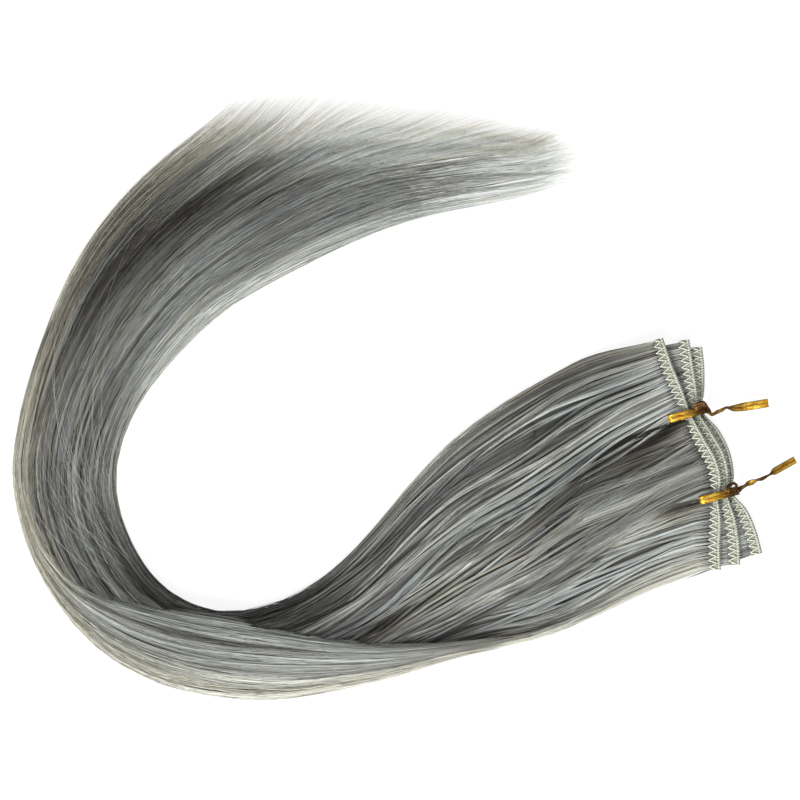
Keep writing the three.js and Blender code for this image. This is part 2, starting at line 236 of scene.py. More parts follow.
def tail_at(row, across):
    """The plan of the tail at a row and a share of the way to its inner edge; z is the rise."""
    row, across = np.broadcast_arrays(np.asarray(row, float), np.asarray(across, float))
    return lerp(through(TAIL_OUTER, row), through(TAIL_INNER, row), across[..., None])


def tail_top(row, across):
    """Height of the tail's upper side: the highest of its locks, or the valley between them."""
    row, across = np.broadcast_arrays(np.asarray(row, float), np.clip(across, 0, 1))
    share = np.full(row.shape, VALLEY)
    for i, (middle, half, lift) in enumerate(LOCKS):
        sway = LOCK_SWAY * np.sin(row * SWAY_PER_ROW + i * SWAY_PER_LOCK)
        off = (across - middle - sway) / half
        share = np.maximum(share, lift * np.sqrt(np.maximum(0, 1 - off**2)))
    share = share * dome(across, TAIL_DOME)
    return tail_at(row, across)[..., 2] * np.maximum(EDGE_HEIGHT, share)


def fold_at(row, across):
    """The plan of the folded lock; z is the height of its upper side."""
    row, across = np.broadcast_arrays(np.asarray(row, float), np.clip(across, 0, 1))
    outer = through(FOLD_ROWS[:, [0, 1, 4]], row)
    inner = through(FOLD_ROWS[:, [2, 3, 5]], row)
    height = np.maximum(FOLD_EDGE, dome(across, FOLD_DOME))
    return with_height(lerp(outer, inner, across[..., None]), lerp(outer[..., 2], inner[..., 2], height))


NUDGE = 0.03


def track_line(layer, row):
    """A track's middle line with the height of its underside, its width, the way to the hair and along."""
    table = TRACKS[LAYERS[layer]]
    row = np.asarray(row, float)
    point = through(table, row)
    lift = np.max([1 - np.abs(row - tie) / LIFT_REACH for tie in TIE_ROWS], axis=0)
    base = layer * LAYER_RISE + TIE_LIFT * smooth(lift)
    along = through(table, row + NUDGE) - through(table, row - NUDGE)
    along[..., 2] = 0
    along = unit(along)
    to_hair = np.stack([along[..., 1], -along[..., 0], np.zeros_like(base)], axis=-1)
    return with_height(point, base), point[..., 2], to_hair, along


# Meshes

def grid_mesh(name, points, faces, uvs=None, attributes=None):
    """A smooth mesh from arrays: points in mm, quads or triangles, and per-corner or per-point values."""
    mesh = bpy.data.meshes.new(name)
    corners = np.concatenate([np.asarray(f).ravel() for f in faces])
    sizes = np.concatenate([np.full(len(f), np.shape(f)[1]) for f in faces])
    starts = np.concatenate([[0], np.cumsum(sizes)[:-1]])
    place = (np.asarray(points).reshape(-1, 3) - FOOTPRINT_MIDDLE) * MM
    mesh.vertices.add(len(place))
    mesh.vertices.foreach_set("co", place.astype(np.float32).ravel())
    mesh.loops.add(len(corners))
    mesh.loops.foreach_set("vertex_index", corners.astype(np.int32))
    mesh.polygons.add(len(sizes))
    mesh.polygons.foreach_set("loop_start", starts.astype(np.int32))
    mesh.update(calc_edges=True)
    if uvs is not None:
        layer = mesh.uv_layers.new(name="OFBake")
        layer.data.foreach_set("uv", np.asarray(uvs, np.float32).ravel())
    for key, values in (attributes or {}).items():
        kind = "FLOAT" if np.ndim(values) == 1 else "FLOAT_VECTOR"
        field = "value" if kind == "FLOAT" else "vector"
        data = mesh.attributes.new(key, kind, "POINT")
        data.data.foreach_set(field, np.asarray(values, np.float32).ravel())
    mesh.shade_smooth()
    return mesh


def placed(name, data):
    """An object in the scene, made from its data."""
    obj = bpy.data.objects.new(name, data)
    bpy.context.scene.collection.objects.link(obj)
    return obj


def piece(name, mesh, finish, replaced=()):
    """A mesh as a piece of the object, with its finish and the solids that it stands for."""
    obj = placed(name, mesh)
    mesh.materials.append(finish)
    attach(obj, "root")
    if replaced:
        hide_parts(*replaced)


def stacked(arrays, *width):
    """Many arrays as one, in rows of the given width."""
    return np.concatenate([np.reshape(values, (-1, *width)) for values in arrays])


def loft_faces(rings, count, offset=0, closed=False):
    """Quads round a body of rings, with a strip over each end unless the rings close on themselves."""
    index = offset + np.arange(rings * count).reshape(rings, count)
    after = np.roll(index, -1, axis=1)
    if closed:
        ahead, ahead_after = np.roll(index, -1, axis=0), np.roll(after, -1, axis=0)
        return np.stack([index, after, ahead_after, ahead], axis=-1).reshape(-1, 4)
    sides = np.stack([index[:-1], after[:-1], after[1:], index[1:]], axis=-1).reshape(-1, 4)
    near = np.arange(count // 2 - 1)
    far = count - 1 - near
    first = np.stack([index[0, far], index[0, far - 1], index[0, near + 1], index[0, near]], -1)
    last = np.stack([index[-1, near], index[-1, near + 1], index[-1, far - 1], index[-1, far]], -1)
    return np.concatenate([sides, first, last])


def loft_mesh(name, rings, attributes=None, closed=(), turned=()):
    """One mesh of several lofted bodies, of which some are closed rings or have their faces turned round."""
    faces, start = [], 0
    for k, ring in enumerate(rings):
        quads = loft_faces(*ring.shape[:2], start, k in closed)
        faces.append(quads[:, ::-1] if k in turned else quads)
        start += ring.shape[0] * ring.shape[1]
    return grid_mesh(name, stacked(rings, 3), [np.concatenate(faces)], None, attributes)


def frames_along(path):
    """Directions along a path, level to its left, and upwards from it."""
    along = unit(np.gradient(path, axis=-2))
    left = unit(np.stack([-along[..., 1], along[..., 0], np.zeros(along.shape[:-1])], axis=-1))
    return along, left, np.cross(along, left)


def tubes(paths, radius, sides, turn=0):
    """Rings of points round one path or many."""
    _, left, up = frames_along(paths)
    turns = turn + 2 * math.pi * np.arange(sides) / sides
    ring = left[..., None, :] * np.cos(turns)[:, None] + up[..., None, :] * np.sin(turns)[:, None]
    return paths[..., None, :] + ring * np.broadcast_to(radius, paths.shape[:-1])[..., None, None]


def travelled(paths, axes=2):
    """How far along its path each point lies in mm, measured on the level or along all axes."""
    steps = np.linalg.norm(np.diff(paths[..., :axes], axis=-2), axis=-1)
    return np.concatenate([np.zeros_like(steps[..., :1]), np.cumsum(steps, axis=-1)], axis=-1)


STRAND_SIDES = 3
FLOOR_CLEAR = 0.06
# Each strand has its own row of the texture, with a margin on both sides.
UV_MARGIN = 0.1


def strand_uvs(count, rings):
    """Places on the texture for the corners of all the strands' quads, and then of their caps."""
    u = np.broadcast_to(span(rings)[None, :, None], (count, rings, STRAND_SIDES))
    low = np.broadcast_to(((np.arange(count) + UV_MARGIN) / count)[:, None, None], u[:, 1:].shape)
    high = low + (1 - 2 * UV_MARGIN) / count
    quad_u = np.stack([u[:, :-1], u[:, 1:], u[:, 1:], u[:, :-1]], axis=-1)
    uvs = [np.stack([quad_u, np.stack([low, low, high, high], axis=-1)], axis=-1)]
    cap_v = np.stack([low[:, 0, 0], high[:, 0, 0], low[:, 0, 0]], axis=-1)
    half_ring = 0.5 / (rings - 1)
    for cap_u in ([0, 0, half_ring], [1, 1, 1 - half_ring]):
        uvs.append(np.stack([np.broadcast_to(cap_u, cap_v.shape), cap_v], axis=-1))
    return stacked(uvs, 2)


def strands(name, paths, radius, tone, warmth, finish):
    """Closed tapering tubes along many paths: arrays of strands by points."""
    count, rings = paths.shape[:2]
    points = tubes(paths, radius, STRAND_SIDES, math.pi / 2)
    points[..., 2] = np.maximum(points[..., 2], FLOOR_CLEAR)
    index = np.arange(count * rings * STRAND_SIDES).reshape(count, rings, STRAND_SIDES)
    after = np.roll(index, -1, axis=2)
    quads = np.stack([index[:, :-1], index[:, 1:], after[:, 1:], after[:, :-1]], axis=-1).reshape(-1, 4)
    caps = np.concatenate([index[:, 0], index[:, -1, ::-1]])
    looks = {}
    for key, value in (("tone", tone), ("warmth", warmth)):
        by_ring = np.broadcast_to(np.clip(value, 0, 1), (count, rings))
        looks[key] = np.repeat(by_ring.ravel(), STRAND_SIDES)
    mesh = grid_mesh(name, points, [quads, caps], strand_uvs(count, rings), looks)
    piece(name, mesh, finish)


# Finishes

RAMP_MIDDLE = 0.5
WAVE_DETAIL = {"Detail": 2, "Detail Scale": 1.5}
WHITE = (1, 1, 1, 1)


class Finish:
    """A material and the nodes of its shader."""

    def __init__(self, name, roughness, specular, metallic=0.0):
        self.material = bpy.data.materials.new(name)
        self.material.use_nodes = True
        self.tree = self.material.node_tree
        self.tree.nodes.clear()
        self.shader = self.node("BsdfPrincipled", {
            "Roughness": roughness,
            "Specular IOR Level": specular,
            "Metallic": metallic,
        })
        self.node("OutputMaterial", {"Surface": self.shader.outputs["BSDF"]})

    def node(self, kind, inputs):
        made = self.tree.nodes.new("ShaderNode" + kind)
        self.feed(made, inputs)
        return made

    def feed(self, node, inputs):
        """Links sockets to inputs of a node, and sets others to plain values."""
        for key, value in inputs.items():
            socket = next(s for s in node.inputs if s.enabled and s.name == key)
            if isinstance(value, bpy.types.NodeSocket):
                self.tree.links.new(value, socket)
            else:
                socket.default_value = value

    def paint(self, colour):
        self.feed(self.shader, {"Base Color": colour})

    def attribute(self, name, output):
        node = self.node("Attribute", {})
        node.attribute_name = name
        return node.outputs[output]

    def noise(self, vector, scale, detail, roughness):
        looks = {"Scale": scale, "Detail": detail, "Roughness": roughness}
        return self.node("TexNoise", {"Vector": vector, **looks}).outputs["Fac"]

    def streaks(self):
        return self.noise(self.attribute("flow", "Vector"), scale=1.0, detail=3.0, roughness=0.6)

    def wave(self, vector, scale, distortion):
        looks = {"Scale": scale, "Distortion": distortion, **WAVE_DETAIL}
        return self.node("TexWave", {"Vector": vector, **looks}).outputs["Fac"]

    def ramp(self, factor, stops):
        node = self.node("ValToRGB", {"Fac": factor})
        elements = node.color_ramp.elements
        while len(elements) < len(stops):
            elements.new(RAMP_MIDDLE)
        for element, (place, colour) in zip(elements, stops):
            element.position = place
            element.color = (*colour, 1)
        return node.outputs["Color"]

    def mix(self, factor, a, b, blend="MIX"):
        node = self.node("Mix", {})
        node.data_type = "RGBA"
        node.blend_type = blend
        self.feed(node, {"Factor": factor, "A": a, "B": b})
        return next(s for s in node.outputs if s.enabled)

    def bump(self, height, distance):
        node = self.node("Bump", {"Height": height, "Distance": distance})
        self.feed(self.shader, {"Normal": node.outputs["Normal"]})


HAIR_COOL = [
    (0.0, (0.012, 0.011, 0.010)),
    (0.25, (0.056, 0.056, 0.055)),
    (0.5, (0.168, 0.18, 0.184)),
    (0.75, (0.37, 0.405, 0.405)),
    (1.0, (0.69, 0.745, 0.74)),
]
HAIR_WARM = [
    (0.0, (0.014, 0.011, 0.008)),
    (0.25, (0.066, 0.057, 0.042)),
    (0.5, (0.2, 0.187, 0.148)),
    (0.75, (0.43, 0.415, 0.335)),
    (1.0, (0.78, 0.765, 0.66)),
]


def hair_finish():
    hair = Finish("hair", roughness=0.4, specular=0.45)
    # The tone attribute carries painted light and shade as well as the hair's own tone.
    tone, warmth = hair.attribute("tone", "Fac"), hair.attribute("warmth", "Fac")
    hair.paint(hair.mix(warmth, hair.ramp(tone, HAIR_COOL), hair.ramp(tone, HAIR_WARM)))
    return hair.material


# The core's colour is painted shade seen in the gaps between strands, with less of it where the core is
# pale.
CORE_SHADED = [
    (0.3, (0.04, 0.038, 0.034)),
    (0.5, (0.11, 0.11, 0.104)),
    (0.7, (0.23, 0.235, 0.228)),
]
CORE_LESS_SHADED = [
    (0.25, (0.12, 0.12, 0.115)),
    (0.5, (0.26, 0.265, 0.26)),
    (0.75, (0.42, 0.43, 0.42)),
]


def core_finish():
    """The inside of the hair, streaked along the flow: painted dark as painted shade in the gaps between
    strands, and paler towards the tips.
    """
    core = Finish("hair_core", roughness=0.6, specular=0.25)
    streaks = core.streaks()
    pale = core.attribute("pale", "Fac")
    core.paint(core.mix(pale, core.ramp(streaks, CORE_SHADED), core.ramp(streaks, CORE_LESS_SHADED)))
    core.bump(streaks, distance=0.0004)
    return core.material


CLOTH = [
    (0.3, (0.48, 0.5, 0.43)),
    (0.55, (0.68, 0.7, 0.6)),
    (0.8, (0.84, 0.86, 0.75)),
]
WEAVE_SHADES = [(0.0, (0.74, 0.74, 0.72)), (1.0, (1, 1, 1))]
RUNGS = [(0.4, (0, 0, 0)), (0.6, (1, 1, 1))]
# Across a band, from the edge of its hem on: teal edge, hem, ladder of holes, cloth.
HEM_SHADES = [
    (0.0, (0.3, 0.4, 0.37)),
    (0.08, (0.62, 0.68, 0.63)),
    (0.16, (1, 1, 1)),
    (0.36, (1, 1, 1)),
    (0.46, (0.78, 0.8, 0.75)),
]
LADDER = [
    (0.24, (1, 1, 1)),
    (0.29, (0.3, 0.31, 0.28)),
    (0.35, (0.3, 0.31, 0.28)),
    (0.4, (1, 1, 1)),
]
LADDER_SCALE = 0.3


def band_finish():
    """Mottled cloth with a fine weave, a darker edge to its hem, and a ladder of holes beside the hem."""
    cloth = Finish("weft_cloth", roughness=0.8, specular=0.25)
    flow = cloth.attribute("flow", "Vector")
    side = cloth.node("SeparateXYZ", {"Vector": flow}).outputs["Y"]
    limits = {"From Min": -BAND_WIDTH / 2, "From Max": BAND_WIDTH / 2}
    across = cloth.node("MapRange", {"Value": side, **limits}).outputs["Result"]
    weave = cloth.wave(flow, scale=0.55, distortion=2.5)
    rungs = cloth.ramp(cloth.wave(flow, LADDER_SCALE, distortion=0), RUNGS)
    colour = cloth.ramp(cloth.noise(flow, scale=0.9, detail=4.0, roughness=0.65), CLOTH)
    hem, holes = cloth.ramp(across, HEM_SHADES), cloth.ramp(across, LADDER)
    for shade in (cloth.ramp(weave, WEAVE_SHADES), hem, cloth.mix(rungs, WHITE, holes)):
        colour = cloth.mix(1.0, colour, shade, "MULTIPLY")
    cloth.paint(colour)
    cloth.bump(weave, distance=0.0003)
    return cloth.material


THREAD = [(0.3, (0.66, 0.67, 0.55)), (0.7, (0.93, 0.93, 0.83))]


def thread_finish():
    thread = Finish("stitching_thread", roughness=0.65, specular=0.3)
    place = thread.node("TexCoord", {}).outputs["Object"]
    fibre = thread.noise(place, scale=2500.0, detail=3.0, roughness=0.6)
    thread.paint(thread.ramp(fibre, THREAD))
    return thread.material


# Painted shade: the gold foil turns this brown where its painted shine is low, and its gold is darker in the
# creases.
FOIL_SHADE_BROWN = (0.05, 0.018, 0.004, 1)
FOIL_GOLD = [
    (0.32, (0.30, 0.11, 0.008)),
    (0.46, (0.80, 0.40, 0.03)),
    (0.62, (1.0, 0.68, 0.10)),
]


def gold_finish():
    """Creased foil: streaks along the ribbon, darker in its creases as painted shade, and painted brown
    shade along its edges and wherever its painted shine is low.
    """
    gold = Finish("gold_foil", roughness=0.3, specular=0.5, metallic=0.75)
    creases = gold.streaks()
    gold.paint(gold.mix(gold.attribute("painted_shine", "Fac"), FOIL_SHADE_BROWN, gold.ramp(creases, FOIL_GOLD)))
    gold.bump(creases, distance=0.0005)
    return gold.material


# The core of the hair, seen in the gaps between strands

CORE_DEPTH = 1.5
CORE_RINGS_PER_ROW, CORE_POINTS = 4, 48
CORE_ROWS = (1.7, 20.6)
CORE_LOWEST, CORE_FLOOR = 0.3, 0.1
# By rows of the tail, its outer and inner edge, which draw back from the thinning tips, how much of its
# height it keeps, and how pale it is.
CORE_EDGES = (
    [1.7, 4, 16, 17, 18, 18.6, 19.4, 20.2, 20.6],
    [0.025, 0.015, 0.025, 0.04, 0.12, 0.25, 0.44, 0.58, 0.72],
)
CORE_INNERS = (
    [1.7, 2.6, 5, 13, 15, 18, 20, 20.6],
    [0.9, 0.968, 0.975, 0.972, 0.95, 0.92, 0.88, 0.76],
)
CORE_SINKS = ([18, 20.6], [1, 0.25])
CORE_PALES = ([17.5, 21], [0, 1])
INNER_PALE_FROM, INNER_PALE_REACH, INNER_PALE_ROW = 0.8, 0.12, 13.5
# Streaks for each mm along the hair and across it.
FLOW_ALONG, FLOW_ACROSS = 0.018, 2.0
ROW_LENGTH, TAIL_WIDTH, FOLD_WIDTH, FAN_WIDTH = 25, 50, 30, 28
# Shift of the streaks from one body to the next, of which the underside has half.
FLOW_APART = 5


def both(upper, under):
    """Values over the upper side of a body and back along its underside."""
    return np.concatenate([upper, under[:, ::-1]], axis=1)


def body(top, foot, along, across, order):
    """The rings of a closed body, and the flow of its streaks."""
    flow = np.stack(np.broadcast_arrays(along, across, FLOW_APART * order), -1)
    return both(top, foot), both(flow, flow + FLOW_APART / 2)


def core_body(top, foot, along, across, pale, order):
    pale = np.broadcast_to(pale, top.shape[:2])
    return *body(top, foot, along * FLOW_ALONG, across * FLOW_ACROSS, order), both(pale, pale)


def tail_core(order):
    rings = int((CORE_ROWS[1] - CORE_ROWS[0]) * CORE_RINGS_PER_ROW)
    side = span(CORE_POINTS)
    row = np.linspace(*CORE_ROWS, rings)[:, None] + 0 * side
    edge = np.interp(row, *CORE_EDGES)
    across = lerp(edge, np.interp(row, *CORE_INNERS), side)
    height = (tail_top(row, across) - CORE_DEPTH) * np.interp(row, *CORE_SINKS)
    top = with_height(tail_at(row, across), np.maximum(CORE_LOWEST, height))
    foot_across = lerp(np.maximum(edge, FOOT_INSET), 1 - FOOT_INSET, side)
    foot = with_height(tail_at(row, foot_across), np.full(row.shape, CORE_FLOOR))
    inner = smooth((across - INNER_PALE_FROM) / INNER_PALE_REACH) * smooth(row - INNER_PALE_ROW)
    pale = np.maximum(np.interp(row, *CORE_PALES), inner)
    return core_body(top, foot, row * ROW_LENGTH, across * TAIL_WIDTH, pale, order)


FOLD_CORE_ROWS = (2.4, 8.3)
FOLD_CORE_RINGS, FOLD_CORE_POINTS = 36, 20
FOLD_CORE_SIDES, FOLD_FOOT_SIDES = (0.04, 0.96), (0.15, 0.85)
FOLD_SINK_ROW, FOLD_SINK = 6.3, 4.5
FOLD_THIN = 0.3


def fold_core(order):
    side = span(FOLD_CORE_POINTS)
    row = np.linspace(*FOLD_CORE_ROWS, FOLD_CORE_RINGS)[:, None] + 0 * side
    sink = CORE_DEPTH + FOLD_SINK * smooth((row - FOLD_SINK_ROW) / (FOLD_CORE_ROWS[1] - FOLD_SINK_ROW))
    top = fold_at(row, lerp(*FOLD_CORE_SIDES, side))
    top[..., 2] -= sink
    foot = fold_at(row, lerp(*FOLD_FOOT_SIDES, side))
    underside = through(FOLD_ROWS[:, [0, 1, 4]], row)[..., 2]
    foot[..., 2] = np.minimum(foot[..., 2] - sink - FOLD_THIN, underside)
    return core_body(top, foot, row * ROW_LENGTH, side * FOLD_WIDTH, 0, order)


FAN_JOIN_ROW, FAN_CORE_JOIN = 1.2, 2.1
ROOT_INSET, ROOT_LIFT = 0.9, 0.2
# How long a fan's hair keeps the way of the track, and of the tail, as shares of the distance between them.
FAN_WAYS = {"upper": (0.3, 0.6), "middle": (0.3, 0.55), "lower": (0.65, 0.5)}
FAN_CORE_LINES, FAN_CORE_RINGS = 24, 16
FAN_CORE_DROP, FAN_CORE_THICK = 0.9, 1.0
FAN_CORE_LOWEST, FAN_CORE_THIN = 0.2, 0.25
FAN_CORE_ROWS, FAN_CORE_ACROSS = (0.08, 9.92), (0.045, 0.98)
UNDER_PALE = 1.0
FLOW_STEP = 0.05


def fan_curve(layer, fan_name, track_row, end, flow, share):
    """Lines of hair from places along a track to points on the tail, which they reach along its flow."""
    leaving, arriving = FAN_WAYS[fan_name]
    point, width, to_hair, _ = track_line(layer, track_row)
    start = point + to_hair * (width / 2 - ROOT_INSET)[..., None]
    start[..., 2] += TRACK_THIN + ROOT_LIFT
    if layer != TOP_LAYER:
        end = with_height(end, start[..., 2])
    reach = np.linalg.norm((end - start)[..., :2], axis=-1, keepdims=True)
    leave = (to_hair * reach * leaving)[:, None]
    arrive = (flow * reach * arriving)[:, None]
    return hermite(start[:, None], end[:, None], leave, arrive, share[..., None])


def fan_end(row, across, depth):
    """A point on the tail, and the level direction of the tail's flow there."""
    flow = tail_at(row + FLOW_STEP, across) - tail_at(row - FLOW_STEP, across)
    flow[..., 2] = 0
    return with_height(tail_at(row, across), tail_top(row, across) - depth), unit(flow)


# The upper edge of the upper fan bulges out: by how many mm, how far from the track, and over what lengths.
BULGE, BULGE_TRAVEL, BULGE_LENGTH, BULGE_PLACE = 1.6, 24, 16, 0.25


def bulge(fan_name, place, travel):
    if fan_name != "upper":
        return 0 * travel
    return BULGE * bell((travel - BULGE_TRAVEL) / BULGE_LENGTH) * bell(place / BULGE_PLACE)[:, None]


def fan_core(layer, fan_name, order):
    first, last, across_first, across_last, sunk = FANS[fan_name][:5]
    place = span(FAN_CORE_LINES)
    share = np.broadcast_to(span(FAN_CORE_RINGS), (FAN_CORE_LINES, FAN_CORE_RINGS))
    across = np.clip(lerp(across_first, across_last, place), *FAN_CORE_ACROSS)
    end, flow = fan_end(np.full(FAN_CORE_LINES, FAN_CORE_JOIN), across, CORE_DEPTH + sunk)
    track_row = np.clip(lerp(first, last, place), *FAN_CORE_ROWS)
    lines = fan_curve(layer, fan_name, track_row, end, flow, share)
    lines = swayed(lines, -bulge(fan_name, place, travelled(lines)))
    top = lines.transpose(1, 0, 2)[:, ::-1].copy()
    top[..., 2] = np.maximum(top[..., 2] - FAN_CORE_DROP, FAN_CORE_LOWEST + FAN_CORE_THIN)
    foot = with_height(top, np.maximum(FAN_CORE_LOWEST, top[..., 2] - FAN_CORE_THICK))
    pale = 0 if layer == TOP_LAYER else UNDER_PALE
    return core_body(top, foot, share.T * 2 * ROW_LENGTH, place[None, ::-1] * FAN_WIDTH, pale, order)


def hair_core(finish):
    bodies = [tail_core(0), fold_core(1)]
    for layer in range(len(LAYERS)):
        for fan_name in FANS:
            bodies.append(fan_core(layer, fan_name, len(bodies)))
    rings, flows, pales = zip(*bodies)
    mesh = loft_mesh("hair_core", rings, {"flow": stacked(flows, 3), "pale": stacked(pales)})
    piece("hair_core", mesh, finish, ["hair_tail"])


# Strands of hair

STRAND_RADIUS, STRAND_SIZES = 0.115, (0.8, 1.2)
DEEP_SHARE, DEEP_SHADE = 0.35, 0.12
TOP_DEPTHS, DEEP_DEPTHS = (0.0, 0.3), (0.4, 1.1)
# How much deeper than others a whole clump can lie.
CLUMP_DEPTH = 0.5
# How far strands draw together: those of a clump, those that lie deep in it, and those of a whole lock.
CLUMP_PULL, DEEP_PULL, LOCK_PULL = 0.2, 0.05, 0.06
STRAND_TONE = 0.09
# Light that runs along strands and along clumps: amount, range of wave lengths in mm.
SHEENS = [(0.05, (60, 180)), (0.05, (60, 160))]
EDGE_CLEAR = 0.004
# Share of its thickness that a strand has at its very start and end.
TAPER_START, TAPER_END = 0.15, 0.08
# Some groups of strands take on more of the light and dark places than others.
OWN_SHARES = (0.6, 1.4)
# Near the edges of the tail the hair sways less: the reach of that across the tail, and the least share.
HOLD_REACH, HOLD_LEAST = 0.12, 0.08

# Tones by place on the tail: row, across, reach in rows, reach across, amount.
# Some are the hair's own lighter and darker locks; the others are painted shade, as in the valleys
# and beside the fold, and painted light, as along the rims and at the tips.
TONES_AND_PAINTED_LIGHT = [
    (1.2, 1.0, 3.0, 0.08, -0.26),
    (2.0, 0.86, 1.6, 0.1, -0.1),
    (1.7, 0.36, 1.6, 0.13, 0.15),
    (1.8, 0.08, 0.9, 0.04, -0.14),
    (2.8, 0.68, 1.2, 0.03, -0.18),
    (4.3, 0.64, 1.2, 0.06, -0.16),
    (4.4, 0.25, 0.8, 0.05, 0.18),
    (4.5, 0.4, 0.8, 0.025, -0.2),
    (4.2, 0.88, 1.6, 0.06, -0.14),
    (6.2, 0.75, 1.0, 0.12, -0.1),
    (1.5, 0.0, 2.5, 0.04, 0.16),
    (2.3, 0.055, 1.6, 0.025, -0.28),
    (7.5, 0.95, 3.0, 0.35, -0.36),
    (10.3, 0.7, 1.0, 0.5, -0.2),
    (13.0, 0.02, 4.0, 0.12, 0.1),
    (13.0, 0.0, 3.6, 0.05, 0.26),
    (13.3, 0.7, 2.4, 0.3, -0.09),
    (17.0, 0.08, 1.6, 0.14, -0.21),
    (16.2, 0.25, 1.2, 0.1, -0.16),
    (18.0, 0.42, 1.6, 0.15, -0.3),
    (18.0, 0.2, 0.8, 0.1, -0.22),
    (16.0, 0.015, 2.8, 0.04, 0.34),
    (15.0, 0.125, 3.4, 0.035, -0.2),
    (14.2, 0.35, 2.2, 0.045, 0.2),
    (16.6, 0.74, 2.0, 0.18, 0.12),
    (19.8, 0.7, 1.8, 0.16, -0.1),
    (16.4, 0.93, 2.0, 0.08, 0.14),
    (18.2, 1.0, 2.8, 0.075, 0.28),
    (18.2, 1.0, 3.4, 0.04, 0.16),
    (21.5, 0.0, 3.0, 0.4, 0.28),
    (24.6, 0.45, 2.8, 1.2, 0.6),
]


def spots(table, along, across):
    """The sum of soft spots at places: for each spot its middle both ways, its reaches and its amount."""
    total = 0
    for middle, side, reach, width, amount in table:
        total = total + amount * np.exp(-(((along - middle) / reach) ** 2) - ((across - side) / width) ** 2)
    return total


def slits(kinds):
    """Random soft spots of some kinds, each kind with its number and the limits of its measures."""
    for count, *ranges in kinds:
        for _ in range(count):
            middle = rng.uniform(0, 1)
            width, start, length, shade = (rng.uniform(*limits) for limits in ranges)
            yield middle, start, width, length, shade


def groups(share, count):
    """Which of count even groups each share falls in, and the middle of that group."""
    index = np.clip((share * count).astype(int), 0, count - 1)
    return index, (index + 0.5) / count


def group_tones(share, sizes):
    """Random tone by nested groups of strands: for each, how many groups and how far their tones spread."""
    total = np.zeros(len(share))
    for count, amount in sizes:
        total += rng.normal(0, amount, count)[groups(share, count)[0]]
    return total[:, None]


def strand_tones(share, sizes):
    return group_tones(share, sizes) + rng.normal(0, STRAND_TONE, (len(share), 1))


def own_share(share, count):
    return rng.uniform(*OWN_SHARES, count)[groups(share, count)[0]][:, None]


def waves(kinds, groupings, travel):
    """Sines along strands: for each kind an amount, and limits of the wave length that a group shares."""
    total = 0
    for (amount, lengths), group in zip(kinds, groupings):
        count = np.max(group) + 1
        length = rng.uniform(*lengths, count)[group][:, None]
        phase = rng.uniform(0, 2 * math.pi, count)[group][:, None]
        total = total + amount * np.sin(2 * math.pi * travel / length + phase)
    return total


def swayed(paths, shift):
    """Paths moved sideways, each point by its own amount."""
    return paths + frames_along(paths)[1] * shift[..., None]


def to_edge(across):
    """How far a place across the tail is from the nearer edge, as a share of the width."""
    return 0.5 - np.abs(across - 0.5)


def held(across):
    """How freely hair sways at a place across the tail."""
    return lerp(HOLD_LEAST, 1, smooth(to_edge(across) / HOLD_REACH))


def strand_radius(travel, start, end):
    """Radius along strands, which taper over the given lengths in mm from their starts and their ends."""
    left = travel[:, -1:] - travel
    taper = np.minimum(1, np.minimum(TAPER_START + travel / start, TAPER_END + left / end))
    return STRAND_RADIUS * rng.uniform(*STRAND_SIZES, (len(travel), 1)) * taper


def depths(deep, clump):
    own = np.where(deep, rng.uniform(*DEEP_DEPTHS, len(deep)), rng.uniform(*TOP_DEPTHS, len(deep)))
    return own + rng.uniform(0, CLUMP_DEPTH, np.max(clump) + 1)[clump]


def gathered(place, deep, middle):
    """Places drawn towards the middle of their clump."""
    return place + (middle - place) * np.where(deep, DEEP_PULL, CLUMP_PULL)


FAN_COUNT = 820
FAN_LOCKS, FAN_CLUMPS, FAN_FINE = 8, 40, 150
# Each fan's tone holds painted light and shade besides the hair's own tone: the middle fan, coming out
# under the upper one, is painted darker, the lower fan lighter.
FAN_TONES = {"upper": 0.75, "middle": 0.545, "lower": 0.805}
FAN_CONTRASTS = {"upper": 1.0, "middle": 0.65, "lower": 0.6}
FAN_TONE_SPREAD = [(FAN_LOCKS, 0.04), (18, 0.05), (FAN_CLUMPS, 0.055), (90, 0.05), (FAN_FINE, 0.045)]
# Painted highlight and painted shade on the fans, with some of the hair's own tone.
# Light and dark places of the fans: share along the fan, mm from the track, their reaches, amount.
FAN_LIGHT_AND_SHADE = {
    "upper": [
        (0.1, 45, 0.06, 40, -0.14),
        (0.24, 58, 0.03, 30, -0.26),
        (0.34, 46, 0.04, 24, 0.24),
        (0.41, 48, 0.035, 22, -0.26),
        (0.5, 85, 0.03, 30, -0.2),
        (0.85, 14, 0.16, 20, 0.12),
        (0.92, 44, 0.06, 18, -0.3),
        (1.0, 34, 0.06, 24, -0.36),
    ],
    "middle": [
        (0.1, 55, 0.25, 34, -0.2),
        (0.3, 26, 0.06, 18, 0.1),
        (0.48, 24, 0.025, 14, -0.25),
        (0.85, 8, 0.2, 12, 0.08),
    ],
    "lower": [
        (0.12, 12, 0.16, 18, -0.14),
        (0.3, 50, 0.12, 36, 0.06),
        (0.75, 15, 0.2, 20, 0.06),
        (0.8, 60, 0.1, 30, -0.08),
    ],
}
FAN_WARMTH, FAN_WARMTH_SPREAD = 0.35, [(FAN_LOCKS, 0.12), (FAN_CLUMPS, 0.1), (FAN_FINE, 0.1)]
FAN_HEAD_RINGS, FAN_BODY_RINGS = 8, 14
FAN_JOIN_SPREAD, FAN_END_ROWS = (-0.35, 0.45), (7.5, 9.5)
FAN_START, FAN_END = 0.5, 25
FAN_LOWEST = (0.4, 1.6)
# Over 1, hair crowds towards a fan's edge where that is an edge of the tail.
FAN_CROWDING = 1.5
# Hair is warmer near the tail's edges, and the painted shade of notches and slits is warmer as well as
# darker.
EDGE_WARM, EDGE_WARM_REACH, GAP_SHADE_WARMTH = 0.5, 0.05, 1.2
